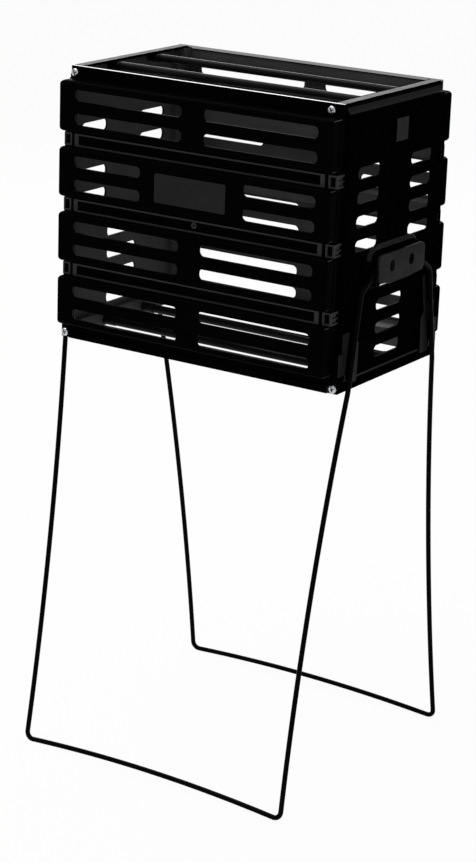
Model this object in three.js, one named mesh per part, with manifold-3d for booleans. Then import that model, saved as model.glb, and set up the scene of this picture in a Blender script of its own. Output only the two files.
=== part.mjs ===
// Tennis ball hopper: a slotted plastic basket on two wire frames.
// The frames are legs as drawn, and swing up past the ends to become the carrying handle.
// Millimetres, +Z up, the floor at z = 0, the label side facing -Y.

import * as THREE from 'three';
import { mergeVertices } from 'three/addons/utils/BufferGeometryUtils.js';
import Module from 'manifold-3d';

const wasm = await Module();
wasm.setup();

// Overall size
const RIM_TOP = 760;
const BASKET_HEIGHT = 299.5;
const BASKET_BOTTOM = RIM_TOP - BASKET_HEIGHT;
const RIM_HALF_LENGTH = 170;
const END_HALF_LENGTH = RIM_HALF_LENGTH + 5;
const RIM_HALF_DEPTH = 103.25;
const GROOVE_HALF_DEPTH = RIM_HALF_DEPTH + 7.75;
const BAND_HALF_DEPTH = RIM_HALF_DEPTH + 17.75;
const FIT_GAP = 0.3;
const CUT_MARGIN = 1;
const WELD_GAP = 1e-4;
const CLEAR_REACH = 1500;

// Long walls
const WALL = 3;
const RIM_WALL = 5.5;
const RIM_CORNER_ROUND = 4;
const CORNER_SIDES = 16;
const RIM_ROUND = 3;
const BAND_COUNT = 4;
const BAND_TOP = RIM_TOP - 13.4;
const BAND_PITCH = 71;
const BAND_HEIGHT = 54.9;
const BAND_ROUND = 5;
const FLANGE_BACK = RIM_HALF_DEPTH - 7.25;
const LIP_HALF_DEPTH = RIM_HALF_DEPTH + 2.25;
const LIP_HEIGHT = 7;
const LIP_SLOPE = 1;
const STRIP_HALF_LENGTH = RIM_HALF_LENGTH - 3.8;
const BEAD_WIDTH = 3;
const BEAD_RISE = 0.8;
const BEAD_INSET = 12;

// Slots
const SLOT_HEIGHT = 12.5;
const SLOT_ROUND = 5;
const SLOT_ROW_OFFSET = 12.7;
const LONG_SLOT_INNER = 13;
const SHORT_SLOT_INNER = 64;
const LONG_SLOT_OUTER = RIM_HALF_LENGTH - 18;
const LABEL_BAND = 1;
const END_SLOT_INNER = 31;
const END_SLOT_OUTER = RIM_HALF_DEPTH - 26.25;
const END_SLOT_CENTRE_HALF = 27.5;
const END_SLOT_TOP_ROW = RIM_TOP - 73.5;
const END_SLOT_LOW_ROW = RIM_TOP - 270.4;
const END_SLOT_PITCH = 25.3;
const END_SLOT_ROWS = 4;

// Raised frames and corner pockets in the grooves
const FRAME_OUTER = RIM_HALF_LENGTH - 11;
const FRAME_INNER = RIM_HALF_LENGTH - 18.5;
const FRAME_HALF_HEIGHT = 6.8;
const FRAME_LINE = 2;
const FRAME_RISE = 1.3;
const POCKET_DEPTH = 1.2;
const POCKET_NEAR = RIM_HALF_LENGTH - 8.5;
const POCKET_FAR = RIM_HALF_LENGTH - 2.2;
const POCKET_HALF_HEIGHT = 5.2;
const FLANGE_POCKET_NEAR = RIM_HALF_DEPTH - 4.75;
const FLANGE_POCKET_FAR = RIM_HALF_DEPTH + 4.25;
const FLANGE_POCKET_BAR = 1;

// Small round boss in the middle groove
const BOSS_GROOVE = 1;
const BOSS_SIDES = 16;
const BOSS_RADIUS = 3.7;
const BOSS_RISE = 1.3;
const BOSS_HOLE_RADIUS = 1.4;
const BOSS_HOLE_DEPTH = 3;

// Label plate
const LABEL_HALF_LENGTH = 44.5;
const LABEL_HALF_HEIGHT = 15.5;
const LABEL_ROUND = 2;
const LABEL_THICKNESS = 1.2;

// End walls
const END_INNER = RIM_HALF_LENGTH - 3.5;
const END_EDGE = FLANGE_BACK - FIT_GAP;
const END_SHEET = 2.5;
const END_SHEET_BACK = END_HALF_LENGTH - END_SHEET;
const END_SHEET_TOP = RIM_TOP - 17;
const END_SHEET_BOTTOM = BASKET_BOTTOM + 15.5;
const END_SIDE_WALL = 2.5;
const PIN_BOSS_RADIUS = 6.5;
const HUB_BOSS_RADIUS = 4;
const END_RIM_EDGE = RIM_HALF_DEPTH - RIM_WALL - FIT_GAP;
const END_RIM_BOTTOM = BAND_TOP + FIT_GAP;
const END_RIM_ROUND = 2;
const TOP_FLANGE_INNER = RIM_HALF_LENGTH - 15.2;
const TOP_FLANGE_THICKNESS = 2;
const TOP_FLANGE_BOTTOM = RIM_TOP - TOP_FLANGE_THICKNESS;
const COVE_TOP = RIM_TOP - 4.5;
const COVE_HEIGHT = 6;
const END_LIP_HALF_LENGTH = END_HALF_LENGTH + 2;
const END_LIP_TOP = BASKET_BOTTOM + 12;
const SCREW_BOSS_HALF_WIDTH = 4.8;
const SCREW_BOSS_TOP = RIM_TOP - 1;
const SCREW_BOSS_HEIGHT = 11;
const SCREW_BOSS_DEPTH = 10.5;

// Leg stops and guides low on the end walls
const STOP_TOP = RIM_TOP - 258;
const STOP_STEP_TOP = RIM_TOP - 237;
const STOP_STEP_EDGE = FLANGE_BACK - 0.5;
const STOP_STEP_FACE = END_HALF_LENGTH + 1.5;
const STOP_BACK = RIM_HALF_LENGTH + FIT_GAP;
const GUIDE_FACE = END_HALF_LENGTH + 3.3;
const GUIDE_GAP = 0.8;
const GUIDE_WIDTH = 5.5;
const GUIDE_TOP = RIM_TOP - 205;
const GUIDE_BEND = RIM_TOP - 246;
const GUIDE_FOOT = RIM_TOP - 292;
const GUIDE_FOOT_HALF_DEPTH = RIM_HALF_DEPTH - 36.25;

// Pivots, hub pads and hub covers
const PIVOT_HALF_SPACING = 43;
const PIVOT_HEIGHT = RIM_TOP - 179.5;
const PAD_HALF_DEPTH = 53;
const PAD_TOP = RIM_TOP - 154;
const PAD_BOTTOM = RIM_TOP - 201;
const PAD_ROUND = 16;
const PAD_BEVEL = 2.4;
const PAD_FACE = END_HALF_LENGTH + 3.3;
const PIVOT_MOUTH_RADIUS = 3.8;
const PIVOT_MOUTH_DEPTH = 1.6;
const COVER_HALF_DEPTH = 48;
const COVER_TOP = RIM_TOP - 161.8;
const COVER_BOTTOM = RIM_TOP - 194.4;
const COVER_ROUND = 7;
const COVER_FACE = END_HALF_LENGTH + 13;
const COVER_WALL = 2.6;
const COVER_SHELF_HALF_DEPTH = 41;
const WELL_HALF_SPACING = 20;
const WELL_HEIGHT = RIM_TOP - 176.5;
const WELL_HALF_WIDTH = 5;
const WELL_HALF_HEIGHT = 6.3;
const WELL_ROUND = 4.7;
const WELL_WALL = 1.5;
const WELL_FLOOR = 2.2;

// Handle catch high on the end walls
const CATCH_TONGUE_HALF_DEPTH = 12;
const CATCH_TONGUE_FACE = END_HALF_LENGTH + 5;
const CATCH_TOP = RIM_TOP - 25;
const CATCH_BOTTOM = RIM_TOP - 49;
const CATCH_WING_HALF_DEPTH = 33;
const CATCH_WING_FACE = END_HALF_LENGTH + 1.8;
const CATCH_WING_HEIGHT = 4;
const CATCH_PLATE_FACE = END_HALF_LENGTH + 0.8;

// Rolling bars and their bushes
const BAR_HALF_SPACING = 37;
const BAR_SIDES = 16;
const BAR_RADIUS = 4.75;
const BAR_HALF_LENGTH = RIM_HALF_LENGTH - 19.8;
const BAR_DROP = 6.2;
const BAR_RISE = 6.6;
const JOURNAL_RADIUS = 3;
const JOURNAL_LENGTH = 8;
const BUSH_RADIUS = 5.3;
const BUSH_START = BAR_HALF_LENGTH + FIT_GAP;
const BUSH_END = END_INNER - FIT_GAP;
const BUSH_BORE_DEPTH = 9;
const SPIGOT_RADIUS = 2.2;
const SPIGOT_LENGTH = 2.6;

// Wire frames
const WIRE_RADIUS = 2.75;
const WIRE_SIDES = 12;
const PIN_END = RIM_HALF_LENGTH - 9.5;
const LEG_TOP_HALF_LENGTH = END_HALF_LENGTH + 7;
const LEG_WAIST_HALF_LENGTH = LEG_TOP_HALF_LENGTH - 12.9;
const LEG_WAIST_HEIGHT = 110;
const LEG_STRAIGHT_HEIGHT = 460;
const LEG_BEND_HEIGHT = RIM_TOP - 197.5;
const LEG_SLOPE = 0.1716;
const LEG_SLOPE_HEIGHT = RIM_TOP - 330;
const LEG_SLOPE_HALF_DEPTH = RIM_HALF_DEPTH - 8.75;
const FLOOR_BAR_ARCH = 7;
const FOOT_FLAT = 0.6;
const PIN_BEND_RADIUS = 5;
const SHOULDER_BEND_RADIUS = 10;
const FOOT_BEND_RADIUS = 8;
const LEG_STATIONS = 12;
const BAR_STATIONS = 12;
const BEND_STATIONS = 5;

// Screws
const SCREW_SIDES = 12;
const SCREW_HEAD_RADIUS = 4.5;
const SCREW_HEAD_HEIGHT = 2.4;
const SCREW_SHANK_RADIUS = 1.9;
const SCREW_SHANK_LENGTH = 12;
const SCREW_HOLE_RADIUS = SCREW_SHANK_RADIUS + FIT_GAP;
const TOP_SCREW_LEFT = 7 - RIM_HALF_LENGTH;
const TOP_SCREW_RIGHT = RIM_HALF_LENGTH - 14;
const TOP_SCREW_HEIGHT = RIM_TOP - 7.2;
const LOW_SCREW_HALF_SPACING = RIM_HALF_LENGTH + 2;
const LOW_SCREW_HEIGHT = BASKET_BOTTOM + 5.2;
const HUB_HEAD_RADIUS = 3.6;
const HUB_HEAD_HEIGHT = 2;
const HUB_SHANK_RADIUS = 1.5;
const HUB_SHANK_LENGTH = 13;
const HEAD_EDGE_HEIGHT_SHARE = 0.35;
const HEAD_SHOULDER_WIDTH_SHARE = 0.82;
const HEAD_SHOULDER_HEIGHT_SHARE = 0.8;
const HEAD_CROWN_WIDTH_SHARE = 0.5;
const RECESS_SHARE = 0.62;
const RECESS_WIDTH = 1.1;
const RECESS_DEPTH = 1.3;

const ROUND_STEPS = 3;
const HALF_TURN = Math.PI;
const QUARTER_TURN = Math.PI / 2;

// Geometry to solids and back
function toSolid(geometry) {
  const bare = new THREE.BufferGeometry();
  bare.setAttribute('position', geometry.getAttribute('position').clone());
  if (geometry.index) {
    bare.setIndex(geometry.index.clone());
  }
  const merged = mergeVertices(bare, WELD_GAP);
  const corners = merged.index.array;
  const kept = [];
  for (let i = 0; i < corners.length; i += 3) {
    const [a, b, c] = [corners[i], corners[i + 1], corners[i + 2]];
    if (a !== b && b !== c && c !== a) {
      kept.push(a, b, c);
    }
  }
  return new wasm.Manifold(new wasm.Mesh({
    numProp: 3,
    vertProperties: new Float32Array(merged.getAttribute('position').array),
    triVerts: new Uint32Array(kept),
  }));
}

function fromSolid(solid) {
  const mesh = solid.getMesh();
  const geometry = new THREE.BufferGeometry();
  const places = new Float32Array(mesh.vertProperties);
  geometry.setAttribute('position', new THREE.BufferAttribute(places, 3));
  geometry.setIndex(new THREE.BufferAttribute(new Uint32Array(mesh.triVerts), 1));
  const flat = geometry.toNonIndexed();
  flat.computeVertexNormals();
  return flat;
}

function joinAll(solids) {
  return solids.reduce((whole, next) => whole.add(next));
}

function cutAll(solid, cutters) {
  return cutters.length === 0 ? solid : solid.subtract(joinAll(cutters));
}

// Basic solids placed in the hopper's own frame
function block(x0, x1, y0, y1, z0, z1) {
  const geometry = new THREE.BoxGeometry(x1 - x0, y1 - y0, z1 - z0);
  geometry.translate((x0 + x1) / 2, (y0 + y1) / 2, (z0 + z1) / 2);
  return toSolid(geometry);
}

function shapeOf(points) {
  return new THREE.Shape(points.map(([u, v]) => new THREE.Vector2(u, v)));
}

function extrudeAlongX(points, x0, x1, bevel = 0) {
  const geometry = new THREE.ExtrudeGeometry(shapeOf(points), {
    depth: x1 - x0 - bevel,
    bevelEnabled: bevel > 0,
    bevelThickness: bevel,
    bevelSize: bevel,
    bevelOffset: -bevel,
    bevelSegments: 1,
  });
  const turn = new THREE.Matrix4().makeBasis(
    new THREE.Vector3(0, 1, 0),
    new THREE.Vector3(0, 0, 1),
    new THREE.Vector3(1, 0, 0),
  );
  geometry.applyMatrix4(turn);
  geometry.translate(x0, 0, 0);
  const reach = CLEAR_REACH;
  return toSolid(geometry).intersect(block(x0, x1, -reach, reach, -reach, reach));
}

function extrudeAlongY(points, y0, y1) {
  const geometry = new THREE.ExtrudeGeometry(shapeOf(points), { depth: y1 - y0, bevelEnabled: false });
  geometry.rotateX(QUARTER_TURN);
  geometry.translate(0, y1, 0);
  return toSolid(geometry);
}

// Turned shape: pairs of radius and distance along the axis, the axis then laid along +X or -Y
function turned(profile, sides) {
  return new THREE.LatheGeometry(profile.map(([r, a]) => new THREE.Vector2(r, a)), sides);
}

function turnedAlongX(profile, sides, x, y, z) {
  const geometry = turned(profile, sides);
  geometry.rotateZ(-QUARTER_TURN);
  geometry.translate(x, y, z);
  return toSolid(geometry);
}

function turnedTowardFront(profile, sides, x, y, z) {
  const geometry = turned(profile, sides);
  geometry.rotateX(HALF_TURN);
  geometry.translate(x, y, z);
  return toSolid(geometry);
}

function rodProfile(radius, start, end) {
  return [[0, start], [radius, start], [radius, end], [0, end]];
}

function roundedOutline(u0, u1, v0, v1, radius) {
  const points = [];
  const corners = [
    [u1 - radius, v1 - radius, 0],
    [u0 + radius, v1 - radius, 1],
    [u0 + radius, v0 + radius, 2],
    [u1 - radius, v0 + radius, 3],
  ];
  for (const [u, v, quarter] of corners) {
    for (let i = 0; i <= ROUND_STEPS; i += 1) {
      const angle = (quarter + i / ROUND_STEPS) * QUARTER_TURN;
      points.push([u + radius * Math.cos(angle), v + radius * Math.sin(angle)]);
    }
  }
  return points;
}

function arcPoints(u, v, radius, fromQuarter, quarters) {
  const points = [];
  for (let i = 0; i <= ROUND_STEPS; i += 1) {
    const angle = (fromQuarter + (quarters * i) / ROUND_STEPS) * QUARTER_TURN;
    points.push([u + radius * Math.cos(angle), v + radius * Math.sin(angle)]);
  }
  return points;
}

function mirrored(points) {
  return points.map(([u, v]) => [-u, v]).reverse();
}

function bandTop(band) {
  return BAND_TOP - band * BAND_PITCH;
}

function grooveCentre(groove) {
  return bandTop(groove + 1) + (BAND_PITCH - BAND_HEIGHT) / 2;
}

// Long wall seen from the end: rim, four bands with rounded edges, three grooves, bottom lip
function longWallOutline() {
  const half = [[FLANGE_BACK, BASKET_BOTTOM], [LIP_HALF_DEPTH, BASKET_BOTTOM]];
  half.push([LIP_HALF_DEPTH, BASKET_BOTTOM + LIP_HEIGHT]);
  half.push([RIM_HALF_DEPTH, BASKET_BOTTOM + LIP_HEIGHT + LIP_SLOPE]);
  for (let band = BAND_COUNT - 1; band >= 0; band -= 1) {
    const top = bandTop(band);
    const bottom = top - BAND_HEIGHT;
    half.push([band === BAND_COUNT - 1 ? RIM_HALF_DEPTH : GROOVE_HALF_DEPTH, bottom]);
    half.push(...arcPoints(BAND_HALF_DEPTH - BAND_ROUND, bottom + BAND_ROUND, BAND_ROUND, -1, 1));
    half.push(...arcPoints(BAND_HALF_DEPTH - BAND_ROUND, top - BAND_ROUND, BAND_ROUND, 0, 1));
    half.push([band === 0 ? RIM_HALF_DEPTH : GROOVE_HALF_DEPTH, top]);
  }
  half.push(...arcPoints(RIM_HALF_DEPTH - RIM_ROUND, RIM_TOP - RIM_ROUND, RIM_ROUND, 0, 1));
  half.push([FLANGE_BACK, RIM_TOP]);
  return mirrored(half);
}

function slotsInLongWall() {
  const cutters = [];
  for (let band = 0; band < BAND_COUNT; band += 1) {
    const centre = bandTop(band) - BAND_HEIGHT / 2;
    const inner = band === LABEL_BAND ? SHORT_SLOT_INNER : LONG_SLOT_INNER;
    for (const row of [-1, 1]) {
      const z = centre + row * SLOT_ROW_OFFSET;
      for (const side of [-1, 1]) {
        const ends = [side * inner, side * LONG_SLOT_OUTER].sort((a, b) => a - b);
        const [low, high] = [z - SLOT_HEIGHT / 2, z + SLOT_HEIGHT / 2];
        const outline = roundedOutline(ends[0], ends[1], low, high, SLOT_ROUND);
        cutters.push(extrudeAlongY(outline, -BAND_HALF_DEPTH - CUT_MARGIN, -GROOVE_HALF_DEPTH));
      }
    }
  }
  return cutters;
}

// Rounds the vertical corner of the rim at each end of a long wall
function rimCornerCutters() {
  const corner = RIM_HALF_DEPTH - RIM_CORNER_ROUND;
  const low = BAND_TOP + FIT_GAP;
  const cutters = [];
  for (const side of [-1, 1]) {
    const centre = side * (RIM_HALF_LENGTH - RIM_CORNER_ROUND);
    const across = [centre, side * (RIM_HALF_LENGTH + CUT_MARGIN)].sort((a, b) => a - b);
    const front = -RIM_HALF_DEPTH - CUT_MARGIN;
    const square = block(across[0], across[1], front, -corner, low, RIM_TOP + CUT_MARGIN);
    const profile = rodProfile(RIM_CORNER_ROUND, low - CUT_MARGIN, RIM_TOP + 2 * CUT_MARGIN);
    const post = turned(profile, CORNER_SIDES);
    post.rotateX(QUARTER_TURN);
    post.translate(centre, -corner, 0);
    cutters.push(square.subtract(toSolid(post)));
  }
  return cutters;
}

function grooveFrame(groove) {
  const z = grooveCentre(groove);
  const back = -GROOVE_HALF_DEPTH + CUT_MARGIN;
  const front = -GROOVE_HALF_DEPTH - FRAME_RISE;
  const half = FRAME_HALF_HEIGHT;
  const opening = half - FRAME_LINE;
  const outer = block(-FRAME_OUTER, FRAME_OUTER, front, back, z - half, z + half);
  return outer.subtract(
    block(-FRAME_INNER, FRAME_INNER, front - CUT_MARGIN, -GROOVE_HALF_DEPTH, z - opening, z + opening),
  );
}

function cornerPockets(groove) {
  const z = grooveCentre(groove);
  const cutters = [];
  for (const side of [-1, 1]) {
    const across = [side * POCKET_NEAR, side * POCKET_FAR].sort((a, b) => a - b);
    cutters.push(block(
      across[0],
      across[1],
      -GROOVE_HALF_DEPTH - CUT_MARGIN,
      -GROOVE_HALF_DEPTH + POCKET_DEPTH,
      z - POCKET_HALF_HEIGHT,
      z + POCKET_HALF_HEIGHT,
    ));
    const deep = [side * (RIM_HALF_LENGTH - POCKET_DEPTH), side * (RIM_HALF_LENGTH + CUT_MARGIN)];
    deep.sort((a, b) => a - b);
    for (const half of [-1, 1]) {
      const near = z + half * FLANGE_POCKET_BAR;
      const far = z + half * POCKET_HALF_HEIGHT;
      cutters.push(block(
        deep[0],
        deep[1],
        -FLANGE_POCKET_FAR,
        -FLANGE_POCKET_NEAR,
        Math.min(near, far),
        Math.max(near, far),
      ));
    }
  }
  return cutters;
}

function longPanel() {
  const bandsBottom = bandTop(BAND_COUNT - 1) - BAND_HEIGHT;
  const behind = -FLANGE_BACK + CUT_MARGIN;
  const rimInner = -RIM_HALF_DEPTH + RIM_WALL;
  const openHalf = RIM_HALF_LENGTH - WALL;
  const past = END_HALF_LENGTH;
  let panel = extrudeAlongX(longWallOutline(), -RIM_HALF_LENGTH, RIM_HALF_LENGTH);
  const cutters = [
    block(-openHalf, openHalf, rimInner, behind, BASKET_BOTTOM - CUT_MARGIN, RIM_TOP + CUT_MARGIN),
    block(-past, past, rimInner, behind, BAND_TOP, RIM_TOP + CUT_MARGIN),
    block(-past, past, rimInner, behind, BASKET_BOTTOM - CUT_MARGIN, bandsBottom),
    block(-openHalf, openHalf, -GROOVE_HALF_DEPTH + WALL, rimInner, bandsBottom + WALL, BAND_TOP - WALL),
    block(STRIP_HALF_LENGTH, past, -BAND_HALF_DEPTH, behind, BASKET_BOTTOM - CUT_MARGIN, bandsBottom),
    block(-past, -STRIP_HALF_LENGTH, -BAND_HALF_DEPTH, behind, BASKET_BOTTOM - CUT_MARGIN, bandsBottom),
  ];
  for (let band = 0; band < BAND_COUNT; band += 1) {
    const top = bandTop(band);
    const hollowBottom = top - BAND_HEIGHT + WALL;
    const front = -BAND_HALF_DEPTH + WALL;
    cutters.push(block(-openHalf, openHalf, front, -GROOVE_HALF_DEPTH + WALL, hollowBottom, top - WALL));
  }
  panel = cutAll(panel, cutters);
  const additions = [];
  for (let groove = 0; groove < BAND_COUNT - 1; groove += 1) {
    additions.push(grooveFrame(groove));
  }
  for (let band = 0; band < BAND_COUNT; band += 1) {
    const top = bandTop(band) - BAND_ROUND;
    const bottom = bandTop(band) - BAND_HEIGHT + BAND_ROUND;
    const beadNear = -BAND_HALF_DEPTH + BEAD_INSET;
    for (const side of [-1, 1]) {
      const span = [side * (RIM_HALF_LENGTH - CUT_MARGIN), side * (RIM_HALF_LENGTH + BEAD_RISE)];
      span.sort((a, b) => a - b);
      additions.push(block(span[0], span[1], beadNear, beadNear + BEAD_WIDTH, bottom, top));
    }
  }
  const bossHeight = grooveCentre(BOSS_GROOVE);
  const boss = rodProfile(BOSS_RADIUS, -CUT_MARGIN, BOSS_RISE);
  additions.push(turnedTowardFront(boss, BOSS_SIDES, 0, -GROOVE_HALF_DEPTH, bossHeight));
  panel = panel.add(joinAll(additions));
  const holes = [...slotsInLongWall(), ...rimCornerCutters()];
  for (let groove = 0; groove < BAND_COUNT - 1; groove += 1) {
    holes.push(...cornerPockets(groove));
  }
  const bossHole = rodProfile(BOSS_HOLE_RADIUS, BOSS_RISE - BOSS_HOLE_DEPTH, BOSS_RISE + CUT_MARGIN);
  holes.push(turnedTowardFront(bossHole, BOSS_SIDES, 0, -GROOVE_HALF_DEPTH, bossHeight));
  const shank = rodProfile(SCREW_HOLE_RADIUS, -SCREW_SHANK_LENGTH, SCREW_SHANK_LENGTH);
  for (const x of [TOP_SCREW_LEFT, TOP_SCREW_RIGHT]) {
    holes.push(turnedTowardFront(shank, SCREW_SIDES, x, -RIM_HALF_DEPTH, TOP_SCREW_HEIGHT));
  }
  return cutAll(panel, holes);
}

// Leg wire seen from the end: depth of its centre at a height, on the straight splayed part
function legDepth(z) {
  return -(LEG_SLOPE_HALF_DEPTH + LEG_SLOPE * (LEG_SLOPE_HEIGHT - z));
}

function legHalfLength(z) {
  const rise = (z - LEG_WAIST_HEIGHT) / (LEG_STRAIGHT_HEIGHT - LEG_WAIST_HEIGHT);
  const spread = LEG_TOP_HALF_LENGTH - LEG_WAIST_HALF_LENGTH;
  return Math.min(LEG_TOP_HALF_LENGTH, LEG_WAIST_HALF_LENGTH + spread * rise * rise);
}

function endWallOutline() {
  const points = [[END_INNER, BASKET_BOTTOM], [END_LIP_HALF_LENGTH, BASKET_BOTTOM]];
  points.push([END_LIP_HALF_LENGTH, END_LIP_TOP - LIP_SLOPE], [END_HALF_LENGTH, END_LIP_TOP]);
  const coveDepth = END_HALF_LENGTH - RIM_HALF_LENGTH;
  for (let i = 0; i <= ROUND_STEPS; i += 1) {
    const angle = (i / ROUND_STEPS) * QUARTER_TURN;
    const x = END_HALF_LENGTH - coveDepth * Math.sin(angle);
    points.push([x, COVE_TOP - COVE_HEIGHT * Math.cos(angle)]);
  }
  points.push(...arcPoints(RIM_HALF_LENGTH - END_RIM_ROUND, RIM_TOP - END_RIM_ROUND, END_RIM_ROUND, 0, 1));
  points.push([END_INNER, RIM_TOP]);
  return points;
}

function endRimOutline() {
  const points = [[END_INNER, END_RIM_BOTTOM], [RIM_HALF_LENGTH, END_RIM_BOTTOM]];
  points.push(...arcPoints(RIM_HALF_LENGTH - END_RIM_ROUND, RIM_TOP - END_RIM_ROUND, END_RIM_ROUND, 0, 1));
  points.push([END_INNER, RIM_TOP]);
  return points;
}

// Raised details for the front half of one end wall, as outlines of depth and height
function legStopOutline() {
  const clear = WIRE_RADIUS + GUIDE_GAP;
  return [
    [-RIM_HALF_DEPTH, BASKET_BOTTOM],
    [legDepth(BASKET_BOTTOM) - clear, BASKET_BOTTOM],
    [legDepth(STOP_TOP) - clear, STOP_TOP],
    [-RIM_HALF_DEPTH, STOP_TOP],
  ];
}

function legStopStepOutline() {
  const clear = WIRE_RADIUS + GUIDE_GAP;
  return [
    [-STOP_STEP_EDGE, STOP_TOP - CUT_MARGIN],
    [legDepth(STOP_TOP) - clear, STOP_TOP - CUT_MARGIN],
    [legDepth(STOP_STEP_TOP) - clear, STOP_STEP_TOP],
    [-STOP_STEP_EDGE, STOP_STEP_TOP],
  ];
}

function legGuideOutline() {
  const clear = WIRE_RADIUS + GUIDE_GAP;
  return [
    [legDepth(GUIDE_FOOT) + clear, GUIDE_FOOT],
    [-GUIDE_FOOT_HALF_DEPTH, GUIDE_FOOT],
    [legDepth(GUIDE_BEND) + clear + GUIDE_WIDTH + GUIDE_WIDTH, GUIDE_BEND - GUIDE_WIDTH],
    [legDepth(GUIDE_BEND) + clear + GUIDE_WIDTH, GUIDE_BEND],
    [legDepth(GUIDE_TOP) + clear + GUIDE_WIDTH, GUIDE_TOP],
    [legDepth(GUIDE_TOP) + clear, GUIDE_TOP],
  ];
}

// Hollow that leaves the end wall a thin sheet, with bosses round the pivots and hub screws
function endWallHollow() {
  const edge = END_EDGE - END_SIDE_WALL;
  const start = END_INNER - CUT_MARGIN;
  const bosses = [];
  for (const side of [-1, 1]) {
    const length = END_SHEET_BACK - start + CUT_MARGIN;
    const pinBoss = rodProfile(PIN_BOSS_RADIUS, -CUT_MARGIN, length);
    const hubBoss = rodProfile(HUB_BOSS_RADIUS, -CUT_MARGIN, length);
    bosses.push(turnedAlongX(pinBoss, BOSS_SIDES, start, side * PIVOT_HALF_SPACING, PIVOT_HEIGHT));
    bosses.push(turnedAlongX(hubBoss, SCREW_SIDES, start, side * WELL_HALF_SPACING, WELL_HEIGHT));
  }
  const hollow = block(start, END_SHEET_BACK, -edge, edge, END_SHEET_BOTTOM, END_SHEET_TOP);
  return cutAll(hollow, bosses);
}

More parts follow.
